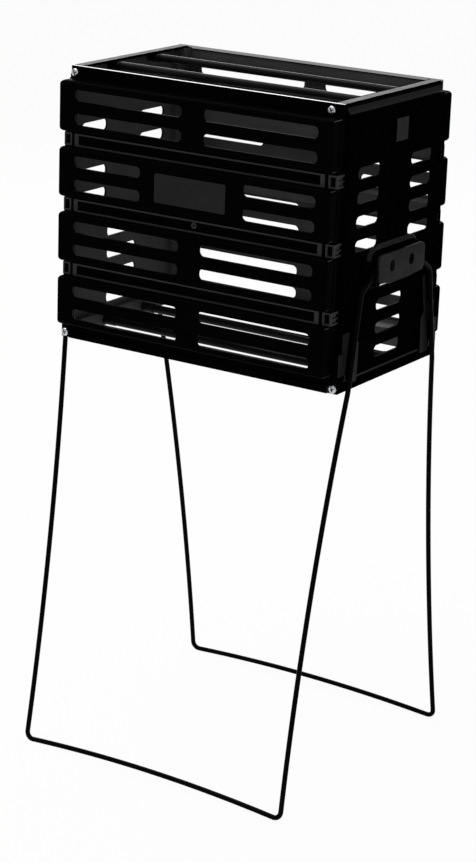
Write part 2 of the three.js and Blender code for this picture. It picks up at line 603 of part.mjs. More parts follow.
function endPanel() {
  const cornerTop = bandTop(BAND_COUNT - 1) - BAND_HEIGHT - FIT_GAP;
  const bossBottom = SCREW_BOSS_TOP - SCREW_BOSS_HEIGHT;
  const bossEnd = END_INNER + CUT_MARGIN;
  const wallBack = END_HALF_LENGTH - CUT_MARGIN;
  const wing = CATCH_WING_HALF_DEPTH;
  const wingRise = CATCH_WING_HEIGHT / 2;
  const throughWall = PAD_FACE - END_INNER + CUT_MARGIN;
  const pieces = [
    extrudeAlongY(endWallOutline(), -END_EDGE, END_EDGE),
    extrudeAlongY(endRimOutline(), -END_RIM_EDGE, END_RIM_EDGE),
    block(END_INNER, END_LIP_HALF_LENGTH, -RIM_HALF_DEPTH, RIM_HALF_DEPTH, BASKET_BOTTOM, cornerTop),
    block(TOP_FLANGE_INNER, bossEnd, -END_RIM_EDGE, END_RIM_EDGE, TOP_FLANGE_BOTTOM, RIM_TOP),
    extrudeAlongX(
      roundedOutline(-PAD_HALF_DEPTH, PAD_HALF_DEPTH, PAD_BOTTOM, PAD_TOP, PAD_ROUND),
      wallBack,
      PAD_FACE,
      PAD_BEVEL,
    ),
    block(wallBack, CATCH_PLATE_FACE, -wing, wing, CATCH_BOTTOM, CATCH_TOP),
    block(wallBack, CATCH_WING_FACE, -wing, wing, CATCH_TOP - wingRise, CATCH_TOP + wingRise),
    block(wallBack, CATCH_WING_FACE, -wing, wing, CATCH_BOTTOM - wingRise, CATCH_BOTTOM),
    block(
      wallBack,
      CATCH_TONGUE_FACE,
      -CATCH_TONGUE_HALF_DEPTH,
      CATCH_TONGUE_HALF_DEPTH,
      CATCH_BOTTOM,
      CATCH_TOP,
    ),
  ];
  for (const flip of [false, true]) {
    const side = (outline) => (flip ? mirrored(outline) : outline);
    pieces.push(extrudeAlongX(side(legStopOutline()), STOP_BACK, END_LIP_HALF_LENGTH));
    pieces.push(extrudeAlongX(side(legStopStepOutline()), wallBack, STOP_STEP_FACE));
    pieces.push(extrudeAlongX(side(legGuideOutline()), wallBack, GUIDE_FACE));
    const edge = flip ? END_RIM_EDGE : -END_RIM_EDGE;
    const inner = flip ? END_RIM_EDGE - SCREW_BOSS_DEPTH : -END_RIM_EDGE + SCREW_BOSS_DEPTH;
    const [near, far] = [Math.min(edge, inner), Math.max(edge, inner)];
    const bossStart = (flip ? -TOP_SCREW_LEFT : TOP_SCREW_RIGHT) - SCREW_BOSS_HALF_WIDTH;
    pieces.push(block(bossStart, bossEnd, near, far, bossBottom, SCREW_BOSS_TOP));
  }
  const holes = [endWallHollow()];
  const slotEnds = [[-END_SLOT_OUTER, -END_SLOT_INNER], [END_SLOT_INNER, END_SLOT_OUTER]];
  const addSlot = (y0, y1, z) => {
    const outline = roundedOutline(y0, y1, z - SLOT_HEIGHT / 2, z + SLOT_HEIGHT / 2, SLOT_ROUND);
    holes.push(extrudeAlongX(outline, END_INNER - CUT_MARGIN, PAD_FACE + CUT_MARGIN));
  };
  for (let row = 0; row < END_SLOT_ROWS; row += 1) {
    slotEnds.forEach(([y0, y1]) => addSlot(y0, y1, END_SLOT_TOP_ROW - row * END_SLOT_PITCH));
    addSlot(-END_SLOT_CENTRE_HALF, END_SLOT_CENTRE_HALF, END_SLOT_LOW_ROW + row * END_SLOT_PITCH);
  }
  for (const side of [-1, 1]) {
    const front = side * RIM_HALF_DEPTH;
    const shankReach = SCREW_SHANK_LENGTH + CUT_MARGIN;
    const screw = rodProfile(SCREW_HOLE_RADIUS, -shankReach, shankReach);
    const topScrew = side < 0 ? TOP_SCREW_RIGHT : -TOP_SCREW_LEFT;
    holes.push(turnedTowardFront(screw, SCREW_SIDES, topScrew, front, TOP_SCREW_HEIGHT));
    holes.push(turnedTowardFront(screw, SCREW_SIDES, LOW_SCREW_HALF_SPACING, front, LOW_SCREW_HEIGHT));
    const pin = rodProfile(WIRE_RADIUS + FIT_GAP, -CUT_MARGIN, throughWall);
    holes.push(turnedAlongX(pin, WIRE_SIDES, END_INNER, side * PIVOT_HALF_SPACING, PIVOT_HEIGHT));
    const mouth = rodProfile(PIVOT_MOUTH_RADIUS, -PIVOT_MOUTH_DEPTH, PIVOT_MOUTH_DEPTH);
    holes.push(turnedAlongX(mouth, WIRE_SIDES, PAD_FACE, side * PIVOT_HALF_SPACING, PIVOT_HEIGHT));
    const hubScrew = rodProfile(HUB_SHANK_RADIUS + FIT_GAP, -CUT_MARGIN, throughWall);
    holes.push(turnedAlongX(hubScrew, SCREW_SIDES, END_INNER, side * WELL_HALF_SPACING, WELL_HEIGHT));
    const spigot = rodProfile(SPIGOT_RADIUS + FIT_GAP, -CUT_MARGIN, SPIGOT_LENGTH + FIT_GAP);
    for (const z of [RIM_TOP - BAR_DROP, BASKET_BOTTOM + BAR_RISE]) {
      holes.push(turnedAlongX(spigot, SCREW_SIDES, END_INNER, side * BAR_HALF_SPACING, z));
    }
  }
  const solid = cutAll(joinAll(pieces), holes);
  const reach = CLEAR_REACH;
  return solid.intersect(block(TOP_FLANGE_INNER, reach, -reach, reach, BASKET_BOTTOM, RIM_TOP));
}

// Cover over the two pivots: a plate with two screw wells and a shelf below
function hubCover() {
  const back = PAD_FACE + FIT_GAP;
  const plateBack = COVER_FACE - COVER_WALL;
  const pieces = [
    extrudeAlongX(
      roundedOutline(-COVER_HALF_DEPTH, COVER_HALF_DEPTH, COVER_BOTTOM, COVER_TOP, COVER_ROUND),
      plateBack,
      COVER_FACE,
      COVER_WALL / 2,
    ),
    block(
      back,
      plateBack + CUT_MARGIN,
      -COVER_SHELF_HALF_DEPTH,
      COVER_SHELF_HALF_DEPTH,
      COVER_BOTTOM,
      COVER_BOTTOM + COVER_WALL,
    ),
  ];
  const holes = [];
  for (const side of [-1, 1]) {
    const y = side * WELL_HALF_SPACING;
    const well = (grow) => roundedOutline(
      y - WELL_HALF_WIDTH - grow,
      y + WELL_HALF_WIDTH + grow,
      WELL_HEIGHT - WELL_HALF_HEIGHT - grow,
      WELL_HEIGHT + WELL_HALF_HEIGHT + grow,
      WELL_ROUND + grow,
    );
    pieces.push(extrudeAlongX(well(WELL_WALL), back, plateBack + CUT_MARGIN));
    holes.push(extrudeAlongX(well(0), back + WELL_FLOOR, COVER_FACE + CUT_MARGIN));
    const screw = rodProfile(HUB_SHANK_RADIUS + FIT_GAP, -CUT_MARGIN, COVER_FACE - back);
    holes.push(turnedAlongX(screw, SCREW_SIDES, back, y, WELL_HEIGHT));
  }
  return cutAll(joinAll(pieces), holes);
}

// Screw with a domed head and a cross recess, the head's seat at distance 0 along its axis
function screwSolid(place, headRadius, headHeight, shankRadius, shankLength) {
  const dome = [
    [0, -shankLength],
    [shankRadius, -shankLength],
    [shankRadius, 0],
    [headRadius, 0],
    [headRadius, headHeight * HEAD_EDGE_HEIGHT_SHARE],
    [headRadius * HEAD_SHOULDER_WIDTH_SHARE, headHeight * HEAD_SHOULDER_HEIGHT_SHARE],
    [headRadius * HEAD_CROWN_WIDTH_SHARE, headHeight],
    [0, headHeight],
  ];
  const reach = headRadius * RECESS_SHARE;
  const low = headHeight - RECESS_DEPTH;
  const arm = (width, height) => {
    const geometry = new THREE.BoxGeometry(width, headHeight, height);
    geometry.translate(0, low + headHeight / 2, 0);
    return geometry;
  };
  const solids = [turned(dome, SCREW_SIDES), arm(reach * 2, RECESS_WIDTH), arm(RECESS_WIDTH, reach * 2)];
  const [body, across, along] = solids.map((geometry) => toSolid(place(geometry)));
  return body.subtract(across.add(along));
}

function screwTowardFront(x, y, z, ...sizes) {
  return screwSolid((geometry) => {
    geometry.rotateX(HALF_TURN);
    geometry.translate(x, y, z);
    return geometry;
  }, ...sizes);
}

function screwTowardEnd(x, y, z, ...sizes) {
  return screwSolid((geometry) => {
    geometry.rotateZ(-QUARTER_TURN);
    geometry.translate(x, y, z);
    return geometry;
  }, ...sizes);
}

// A curve that follows the stations given to it, one step per station
class WireCurve extends THREE.Curve {
  constructor(stations) {
    super();
    this.stations = stations;
  }

  getUtoTmapping(share) {
    return share;
  }

  getPoint(share, target = new THREE.Vector3()) {
    const place = THREE.MathUtils.clamp(share, 0, 1) * (this.stations.length - 1);
    const index = Math.min(Math.floor(place), this.stations.length - 2);
    return target.lerpVectors(this.stations[index], this.stations[index + 1], place - index);
  }
}

// Stations along an arc that rounds the corner between two straight runs
function bendStations(before, corner, after, radius) {
  const toBefore = before.clone().sub(corner).normalize();
  const toAfter = after.clone().sub(corner).normalize();
  const halfAngle = toBefore.angleTo(toAfter) / 2;
  const inward = toBefore.clone().add(toAfter).normalize();
  const centre = corner.clone().addScaledVector(inward, radius / Math.sin(halfAngle));
  const start = corner.clone().addScaledVector(toBefore, radius / Math.tan(halfAngle)).sub(centre);
  const end = corner.clone().addScaledVector(toAfter, radius / Math.tan(halfAngle)).sub(centre);
  const sweep = start.angleTo(end);
  const stations = [];
  for (let i = 0; i <= BEND_STATIONS; i += 1) {
    const share = i / BEND_STATIONS;
    const fromStart = Math.sin((1 - share) * sweep) / Math.sin(sweep);
    const fromEnd = Math.sin(share * sweep) / Math.sin(sweep);
    stations.push(centre.clone().addScaledVector(start, fromStart).addScaledVector(end, fromEnd));
  }
  return stations;
}

// One leg from its pivot pin to the middle of the floor bar, on the +X end
function legStations() {
  const footRise = FLOOR_BAR_ARCH * (1 - ((legHalfLength(0) - FOOT_BEND_RADIUS) / legHalfLength(0)) ** 2);
  const footHeight = WIRE_RADIUS - FOOT_FLAT - footRise;
  const footHalf = legHalfLength(footHeight);
  const footDepth = legDepth(footHeight);
  const barPoint = (x) => {
    const rise = FLOOR_BAR_ARCH * (1 - (x / footHalf) ** 2);
    return new THREE.Vector3(x, footDepth + rise * LEG_SLOPE, footHeight + rise);
  };
  const legPoint = (z) => new THREE.Vector3(legHalfLength(z), legDepth(z), z);
  const pinEnd = new THREE.Vector3(PIN_END, -PIVOT_HALF_SPACING, PIVOT_HEIGHT);
  const elbow = new THREE.Vector3(LEG_TOP_HALF_LENGTH, -PIVOT_HALF_SPACING, PIVOT_HEIGHT);
  const shoulder = legPoint(LEG_BEND_HEIGHT);
  const foot = legPoint(footHeight);
  const stations = [pinEnd];
  stations.push(...bendStations(pinEnd, elbow, shoulder, PIN_BEND_RADIUS));
  const high = legPoint(LEG_STRAIGHT_HEIGHT);
  const low = legPoint(footHeight + FOOT_BEND_RADIUS * 2);
  stations.push(...bendStations(elbow, shoulder, high, SHOULDER_BEND_RADIUS));
  for (let i = 0; i <= LEG_STATIONS; i += 1) {
    stations.push(legPoint(high.z + ((low.z - high.z) * i) / LEG_STATIONS));
  }
  const barStart = barPoint(footHalf - FOOT_BEND_RADIUS * 2);
  stations.push(...bendStations(low, foot, barStart, FOOT_BEND_RADIUS));
  for (let i = 0; i < BAR_STATIONS / 2; i += 1) {
    stations.push(barPoint(barStart.x * (1 - i / (BAR_STATIONS / 2))));
  }
  stations.push(barPoint(0));
  return stations;
}

function wireFrame() {
  const right = legStations();
  const left = right.slice(0, -1).reverse().map((p) => new THREE.Vector3(-p.x, p.y, p.z));
  const stations = [...right, ...left];
  const circle = [];
  for (let i = 0; i < WIRE_SIDES; i += 1) {
    const angle = (i / WIRE_SIDES) * 2 * Math.PI;
    circle.push([WIRE_RADIUS * Math.cos(angle), WIRE_RADIUS * Math.sin(angle)]);
  }
  const geometry = new THREE.ExtrudeGeometry(shapeOf(circle), {
    steps: stations.length - 1,
    extrudePath: new WireCurve(stations),
    bevelEnabled: false,
  });
  const reach = CLEAR_REACH;
  return toSolid(geometry).intersect(block(-reach, reach, -reach, reach, 0, reach));
}

// Rolling bar with a journal at each end, and the bush that holds one journal
function rollingBar(y, z) {
  const end = BAR_HALF_LENGTH + JOURNAL_LENGTH;
  const profile = [
    [0, -end],
    [JOURNAL_RADIUS, -end],
    [JOURNAL_RADIUS, -BAR_HALF_LENGTH],
    [BAR_RADIUS, -BAR_HALF_LENGTH],
    [BAR_RADIUS, BAR_HALF_LENGTH],
    [JOURNAL_RADIUS, BAR_HALF_LENGTH],
    [JOURNAL_RADIUS, end],
    [0, end],
  ];
  return turnedAlongX(profile, BAR_SIDES, 0, y, z);
}

// Bush for one journal, flat on top where it lies under the end wall's flange
function barBush(y, z) {
  const bore = JOURNAL_RADIUS + FIT_GAP;
  const profile = [
    [0, BUSH_BORE_DEPTH],
    [bore, BUSH_BORE_DEPTH],
    [bore, 0],
    [BUSH_RADIUS, 0],
    [BUSH_RADIUS, BUSH_END - BUSH_START],
    [SPIGOT_RADIUS, BUSH_END - BUSH_START],
    [SPIGOT_RADIUS, BUSH_END - BUSH_START + SPIGOT_LENGTH],
    [0, BUSH_END - BUSH_START + SPIGOT_LENGTH],
  ];
  const reach = CLEAR_REACH;
  const under = TOP_FLANGE_BOTTOM - FIT_GAP;
  const bush = turnedAlongX(profile, BAR_SIDES, BUSH_START, y, z);
  return bush.intersect(block(0, reach, -reach, reach, 0, under));
}

function labelPlate() {
  const centre = bandTop(LABEL_BAND) - BAND_HEIGHT / 2;
  const back = -BAND_HALF_DEPTH - FIT_GAP;
  return extrudeAlongY(
    roundedOutline(
      -LABEL_HALF_LENGTH,
      LABEL_HALF_LENGTH,
      centre - LABEL_HALF_HEIGHT,
      centre + LABEL_HALF_HEIGHT,
      LABEL_ROUND,
    ),
    back - LABEL_THICKNESS,
    back,
  );
}

// Looks of the real surfaces
const BLACK_PLASTIC = { color: 0x141414, roughness: 0.4, metalness: 0 };
const COVER_PLASTIC = { color: 0x1c1c1d, roughness: 0.5, metalness: 0 };
const BAR_PLASTIC = { color: 0x18181a, roughness: 0.35, metalness: 0 };
const LABEL_PLASTIC = { color: 0x2a2a2c, roughness: 0.6, metalness: 0 };
const COATED_WIRE = { color: 0x101010, roughness: 0.35, metalness: 0.1 };
const BRIGHT_ZINC = { color: 0xc9cbce, roughness: 0.25, metalness: 1 };
const DARK_STEEL = { color: 0x202022, roughness: 0.4, metalness: 0.8 };

const hopper = new THREE.Group();
hopper.name = 'tennis_ball_hopper';

function place(name, solid, look, turns = 0) {
  const geometry = fromSolid(solid);
  geometry.rotateZ(turns * HALF_TURN);
  const mesh = new THREE.Mesh(geometry, new THREE.MeshStandardMaterial(look));
  mesh.name = name;
  hopper.add(mesh);
}

const longWall = longPanel();
place('front_panel', longWall, BLACK_PLASTIC);
place('rear_panel', longWall, BLACK_PLASTIC, 1);
place('label_plate', labelPlate(), LABEL_PLASTIC);

const endWall = endPanel();
place('right_end_panel', endWall, BLACK_PLASTIC);
place('left_end_panel', endWall, BLACK_PLASTIC, 1);

const cover = hubCover();
place('right_hub_cover', cover, COVER_PLASTIC);
place('left_hub_cover', cover, COVER_PLASTIC, 1);

const frame = wireFrame();
place('front_leg_frame', frame, COATED_WIRE);
place('rear_leg_frame', frame, COATED_WIRE, 1);

for (const [level, z] of [['top', RIM_TOP - BAR_DROP], ['bottom', BASKET_BOTTOM + BAR_RISE]]) {
  place(`${level}_front_bar`, rollingBar(-BAR_HALF_SPACING, z), BAR_PLASTIC);
  place(`${level}_rear_bar`, rollingBar(BAR_HALF_SPACING, z), BAR_PLASTIC);
  place(`${level}_front_bush_right`, barBush(-BAR_HALF_SPACING, z), BLACK_PLASTIC);
  place(`${level}_rear_bush_right`, barBush(BAR_HALF_SPACING, z), BLACK_PLASTIC);
  place(`${level}_rear_bush_left`, barBush(-BAR_HALF_SPACING, z), BLACK_PLASTIC, 1);
  place(`${level}_front_bush_left`, barBush(BAR_HALF_SPACING, z), BLACK_PLASTIC, 1);
}

const cornerSizes = [SCREW_HEAD_RADIUS, SCREW_HEAD_HEIGHT, SCREW_SHANK_RADIUS, SCREW_SHANK_LENGTH];
const cornerSeat = -RIM_HALF_DEPTH - FIT_GAP;
const corners = [
  ['top', TOP_SCREW_LEFT, TOP_SCREW_RIGHT, TOP_SCREW_HEIGHT],
  ['bottom', -LOW_SCREW_HALF_SPACING, LOW_SCREW_HALF_SPACING, LOW_SCREW_HEIGHT],
];
for (const [level, left, right, z] of corners) {
  const rightScrew = screwTowardFront(right, cornerSeat, z, ...cornerSizes);
  const leftScrew = screwTowardFront(left, cornerSeat, z, ...cornerSizes);
  place(`front_${level}_screw_right`, rightScrew, BRIGHT_ZINC);
  place(`front_${level}_screw_left`, leftScrew, BRIGHT_ZINC);
  place(`rear_${level}_screw_left`, rightScrew, BRIGHT_ZINC, 1);
  place(`rear_${level}_screw_right`, leftScrew, BRIGHT_ZINC, 1);
}

const hubSeat = PAD_FACE + FIT_GAP + WELL_FLOOR + FIT_GAP;
const hubSizes = [HUB_HEAD_RADIUS, HUB_HEAD_HEIGHT, HUB_SHANK_RADIUS, HUB_SHANK_LENGTH];
for (const [nearName, farName, side] of [['front', 'rear', -1], ['rear', 'front', 1]]) {
  const hubScrew = screwTowardEnd(hubSeat, side * WELL_HALF_SPACING, WELL_HEIGHT, ...hubSizes);
  place(`right_hub_screw_${nearName}`, hubScrew, DARK_STEEL);
  place(`left_hub_screw_${farName}`, hubScrew, DARK_STEEL, 1);
}

export default hopper;
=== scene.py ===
import math

import bmesh
import bpy
from mathutils import Matrix, Vector


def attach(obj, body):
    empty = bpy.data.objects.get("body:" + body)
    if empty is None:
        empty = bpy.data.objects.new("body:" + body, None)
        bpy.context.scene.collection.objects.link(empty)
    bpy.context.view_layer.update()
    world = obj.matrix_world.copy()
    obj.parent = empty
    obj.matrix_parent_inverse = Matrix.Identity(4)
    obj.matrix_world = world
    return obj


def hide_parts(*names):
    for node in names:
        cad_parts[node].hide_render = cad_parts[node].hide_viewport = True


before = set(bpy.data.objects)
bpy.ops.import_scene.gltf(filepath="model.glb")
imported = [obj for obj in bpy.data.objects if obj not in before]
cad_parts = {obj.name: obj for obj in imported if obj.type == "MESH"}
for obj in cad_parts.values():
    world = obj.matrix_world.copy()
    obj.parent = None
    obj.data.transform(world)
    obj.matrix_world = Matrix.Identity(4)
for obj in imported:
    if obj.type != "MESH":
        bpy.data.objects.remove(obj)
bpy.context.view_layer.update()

# Sizes of the hopper in millimetres, those of the solids apart from the top bars' radius.
# Faces, ends and offsets are distances from the middle
MM = 0.001
RIM_TOP = 760.0
BOTTOM = 460.5
RIM_END = 170.0
END_FACE = 175.0
RIM_FACE = 103.25
GROOVE_FACE = 111.0
BAND_FACE = 121.0
FIT_GAP = 0.3
OVERRUN = 1.0

WALL = 3.0
RIM_WALL = 5.5
BAND_COUNT = 4
BAND_TOP = RIM_TOP - 13.4
BAND_PITCH = 71.0
BAND_HEIGHT = 54.9
BAND_ROUND = 5.0
FLANGE_BACK = 96.0
LIP_FACE = 105.5
LIP_HEIGHT = 7.0
STRIP_END = 166.2
SCREW_BORE_RADIUS = 2.2

SLOT_HEIGHT = 12.5
SLOT_ROUND = 5.4
SLOT_ROW_OFFSET = 12.7
LONG_SLOT_INNER = 13.0
SHORT_SLOT_INNER = 64.0
LONG_SLOT_OUTER = 152.0
LABEL_BAND = 1
LIP_BEHIND_RIM = 3.0
GROOVE_LINES = ((3.9, 5.6), (-8.0, -6.3))
GROOVE_LINE_END = 156.3
GROOVE_LINE_RISE = 1.3
CLIP_POST = 162.5
CLIP_FAR_POST = 168.8
CLIP_TOP = 5.6
CLIP_LOW = -8.0

END_INNER = 166.5
END_EDGE = FLANGE_BACK - FIT_GAP
END_RIM_EDGE = RIM_FACE - RIM_WALL - FIT_GAP
TOP_SCREW_LEFT = -163.0
TOP_SCREW_RIGHT = 156.0
TOP_SCREW_HEIGHT = RIM_TOP - 7.2
LOW_SCREW_OFFSET = 172.0
LOW_SCREW_HEIGHT = BOTTOM + 5.2
CORNER_SCREW_HEAD = (4.5, 2.4)
END_LIP_FACE = 177.0
END_LIP_TOP = BOTTOM + 12.0
END_SHEET = 2.5
FLANGE_HIGH = RIM_TOP - 0.35
FLANGE_LOW = RIM_TOP - 2.0
COVE_TOP = RIM_TOP - 4.5
COVE_HEIGHT = 6.0

PIVOT_OFFSET = 43.0
PIVOT_HEIGHT = RIM_TOP - 179.5
PAD_FACE = 178.3
PAD_HALF_WIDTH = 53.0
PAD_TOP = RIM_TOP - 154
PAD_LOW = RIM_TOP - 201
CATCH_TONGUE = 5.0
COVER_FACE = 188.0
WELL_OFFSET = 20.0
WELL_HEIGHT = RIM_TOP - 176.5
WELL_FLOOR = 2.2

BAR_OFFSET = 37.0
BAR_HALF_LENGTH = 150.2
TOP_BAR_RADIUS = 4.2
LOW_BAR_RADIUS = 4.75
TOP_BAR_HEIGHT = RIM_TOP - 6.2
LOW_BAR_HEIGHT = BOTTOM + 6.6
JOURNAL_RADIUS = 3.0
JOURNAL_LENGTH = 8.0
BUSH_BORE_RADIUS = 3.3
BUSH_RADIUS = 5.3

WIRE_RADIUS = 2.75
WIRE_CLEARANCE = 0.8
LEG_TOP_OFFSET = 182.0
LEG_WAIST_OFFSET = 169.1
LEG_WAIST_HEIGHT = 110.0
LEG_STRAIGHT_HEIGHT = 460.0
LEG_BEND_HEIGHT = RIM_TOP - 197.5
LEG_GUIDE_TOP = RIM_TOP - 205
LEG_SLOPE = 0.1716
LEG_SLOPE_HEIGHT = RIM_TOP - 330
LEG_SLOPE_OFFSET = 94.5
FLOOR_BAR_ARCH = 7.0
FOOT_FLAT = 0.6

# How finely curves are drawn
ARC_STEPS = 7
ROUND_SIDES = 36
BORE_SIDES = 24
WIRE_SIDES = 24
SAME_POINT = 1e-4
SLIVER = 0.002


class Value:
    """One socket of a finish. Arithmetic on it adds the Math nodes."""

    def __init__(self, finish, socket):
        self.finish = finish
        self.socket = socket

    def maths(self, operation, first, second):
        return self.finish.add("Math", {"operation": operation}, {0: first, 1: second})

    def __add__(self, other):
        return self.maths("ADD", self, other)

    __radd__ = __add__

    def __sub__(self, other):
        return self.maths("SUBTRACT", self, other)

    def __mul__(self, other):
        return self.maths("MULTIPLY", self, other)


class Finish:
    """A material made of nodes, for one of the hopper's surfaces, or the world's light."""

    def __init__(self, name, kept_in=bpy.data.materials):
        self.made = kept_in.new(name)
        self.made.use_nodes = True
        self.tree = self.made.node_tree
        self.tree.nodes.clear()

    def add(self, kind, settings=None, inputs=None, output=0):
        """A node of that kind: its settings first, then the values or links of its sockets."""
        node = self.tree.nodes.new("ShaderNode" + kind)
        for name, value in (settings or {}).items():
            setattr(node, name, value)
        for name, value in (inputs or {}).items():
            if isinstance(value, Value):
                self.tree.links.new(value.socket, node.inputs[name])
            else:
                node.inputs[name].default_value = value
        return Value(self, node.outputs[output])

    def noise(self, scale, detail, roughness, distortion=0.0, stretch=None):
        """Noise over the place on the piece, in metres, so that it moves with the piece."""
        place = self.add("TexCoord", output="Object")
        if stretch:
            place = self.add("Mapping", {}, {"Vector": place, "Scale": stretch})
        sockets = {"Vector": place, "Scale": scale, "Detail": detail}
        sockets.update({"Roughness": roughness, "Distortion": distortion})
        return self.add("TexNoise", {}, sockets)

    def ramp(self, value, low, high):
        """0 below low and 1 above high, with a soft step between."""
        settings = {"interpolation_type": "SMOOTHSTEP"}
        sockets = {"Value": value, "From Min": low, "From Max": high}
        return self.add("MapRange", settings, sockets)

    def blend(self, factor, first, second):
        """A colour between two colours."""
        settings = {"data_type": "RGBA"}
        return self.add("Mix", settings, {0: factor, 6: first, 7: second}, output=2)

    def bump(self, height, depth, strength, normal=None):
        """Small relief, its depth in millimetres, on top of another one or alone."""
        sockets = {"Height": height, "Distance": depth * MM, "Strength": strength}
        if normal is not None:
            sockets["Normal"] = normal
        return self.add("Bump", {}, sockets)

    def surface(self, colour, roughness, specular, normal, metallic=0.0):
        sockets = {"Base Color": colour, "Roughness": roughness, "Specular IOR Level": specular}
        sockets.update({"Metallic": metallic, "Normal": normal})
        return self.show(self.add("BsdfPrincipled", {}, sockets))

    def show(self, shader, output="OutputMaterial"):
        out = self.tree.nodes.new("ShaderNode" + output)
        self.tree.links.new(shader.socket, out.inputs["Surface"])
        return self.made


def grey(level, tint=0.0):
    return (level, level, level * (1.0 + tint), 1.0)


def moulded_plastic(name, level, worn_level, roughness, grain, specular):
    """Black injection-moulded plastic: fine spark grain, flow marks, faint rubbed patches."""
    finish = Finish(name)
    flow = finish.noise(22.0, 4.0, 0.6, 0.8, stretch=(1.0, 1.0, 0.35))
    patches = finish.noise(9.0, 5.0, 0.65)
    fine = finish.noise(1500.0, 2.0, 0.6)
    specks = finish.noise(420.0, 2.0, 0.5)
    rubbed = finish.ramp(patches * 0.6 + flow * 0.4, 0.5, 0.78)
    dust = finish.ramp(specks, 0.7, 0.8)
    colour = finish.blend(rubbed * 0.7, grey(level), grey(worn_level))
    colour = finish.blend(dust * 0.35, colour, grey(worn_level * 2.2))
    rough = roughness + (flow - 0.5) * 0.16 + rubbed * 0.05 + (fine - 0.5) * 0.08
    normal = finish.bump(fine, grain, 0.5)
    normal = finish.bump(flow, 0.25, 0.35, normal)
    return finish.surface(colour, rough, specular, normal)


def textured_painted_light_plastic(name, low, high, roughness, specular):
    """The same black plastic painted a lighter grey as painted light where light falls on it, with
    fine lines and a spark-eroded grain.
    """
    finish = Finish(name)
    lines = finish.noise(700.0, 3.0, 0.6, stretch=(0.12, 0.12, 1.0))
    cloud = finish.noise(16.0, 5.0, 0.6, 0.5)
    grain = finish.noise(1300.0, 2.0, 0.6)
    mix = finish.ramp(cloud * 0.7 + lines * 0.3, 0.38, 0.66)
    colour = finish.blend(mix, grey(low), grey(high))
    rough = roughness + (lines - 0.5) * 0.18 + (cloud - 0.5) * 0.1
    normal = finish.bump(grain, 0.08, 0.6)
    normal = finish.bump(lines, 0.08, 0.5, normal)
    return finish.surface(colour, rough, specular, normal)


def coated_wire_finish():
    """Black coating on steel wire: soft ripples along it, rubbed a little smoother in places."""
    finish = Finish("coated_wire_black")
    ripple = finish.noise(130.0, 3.0, 0.5, 0.4)
    peel = finish.noise(900.0, 2.0, 0.5)
    rubbed = finish.ramp(finish.noise(14.0, 4.0, 0.6), 0.5, 0.75)
    colour = finish.blend(rubbed * 0.6, grey(0.002), grey(0.006))
    rough = 0.24 + (ripple - 0.5) * 0.14 - rubbed * 0.05
    normal = finish.bump(peel, 0.04, 0.5)
    normal = finish.bump(ripple, 0.12, 0.4, normal)
    return finish.surface(colour, rough, 0.02, normal)


def roller_finish():
    """Smooth black tube, turned slightly dull along its length by the balls."""
    finish = Finish("rolling_bar_black")
    lines = finish.noise(900.0, 3.0, 0.5, stretch=(0.04, 1.0, 1.0))
    wear = finish.noise(40.0, 4.0, 0.6, stretch=(0.3, 1.0, 1.0))
    rubbed = finish.ramp(wear, 0.46, 0.72)
    colour = finish.blend(rubbed * 0.7, grey(0.006), grey(0.013))
    rough = 0.16 + rubbed * 0.08 + (lines - 0.5) * 0.1
    normal = finish.bump(lines, 0.03, 0.4)
    return finish.surface(colour, rough, 0.06, normal)


def label_finish():
    """Bare label plate: dark grey with a fine horizontal brushing under a satin film."""
    finish = Finish("label_dark_grey")
    brushed = finish.noise(1600.0, 3.0, 0.6, stretch=(0.03, 1.0, 1.0))
    cloud = finish.noise(30.0, 3.0, 0.5)
    colour = finish.blend(finish.ramp(cloud, 0.35, 0.7) * 0.5, grey(0.01, 0.05), grey(0.016, 0.05))
    rough = 0.46 + (brushed - 0.5) * 0.18
    normal = finish.bump(brushed, 0.02, 0.4)
    return finish.surface(colour, rough, 0.14, normal)


def zinc_finish(name, light, dark, roughness):
    """Plated screw: cloudy plating with fine turning marks."""
    finish = Finish(name)
    cloud = finish.ramp(finish.noise(260.0, 4.0, 0.6), 0.35, 0.7)
    fine = finish.noise(3000.0, 2.0, 0.5)
    colour = finish.blend(cloud, light, dark)
    rough = roughness + cloud * 0.1 + (fine - 0.5) * 0.08
    normal = finish.bump(fine, 0.02, 0.4)
    return finish.surface(colour, rough, 0.5, normal, metallic=1.0)


# Outlines are lists of (u, v) in millimetres, counter-clockwise


def arc(u, v, radius, start, end, steps=ARC_STEPS):
    points = []
    for i in range(steps + 1):
        angle = math.radians(start + (end - start) * i / steps)
        points.append((u + radius * math.cos(angle), v + radius * math.sin(angle)))
    return points


def rounded_box(u0, u1, v0, v1, radius, steps=ARC_STEPS):
    return (
        arc(u1 - radius, v1 - radius, radius, 0, 90, steps)
        + arc(u0 + radius, v1 - radius, radius, 90, 180, steps)
        + arc(u0 + radius, v0 + radius, radius, 180, 270, steps)
        + arc(u1 - radius, v0 + radius, radius, 270, 360, steps)
    )


def tidy(outline):
    """Leaves out points that lie on the one before."""
    kept = []
    for point in outline:
        if not kept or math.dist(point, kept[-1]) > SAME_POINT:
            kept.append(point)
    if math.dist(kept[0], kept[-1]) < SAME_POINT:
        kept.pop()
    return kept


AXES = {
    "X": lambda u, v, w: (w, u, v),
    "Y": lambda u, v, w: (u, w, v),
    "Z": lambda u, v, w: (u, v, w),
}


def facing_out(shape):
    bmesh.ops.recalc_face_normals(shape, faces=shape.faces)
    return shape


def loft(low_outline, high_outline, axis, start, end):
    """A solid between two outlines with the same number of points."""
    shape = bmesh.new()
    at = AXES[axis]
    low = [shape.verts.new(Vector(at(u, v, start)) * MM) for u, v in low_outline]
    high = [shape.verts.new(Vector(at(u, v, end)) * MM) for u, v in high_outline]
    shape.faces.new(low)
    shape.faces.new(high[::-1])
    for i in range(len(low)):
        j = (i + 1) % len(low)
        shape.faces.new((low[i], high[i], high[j], low[j]))
    return facing_out(shape)


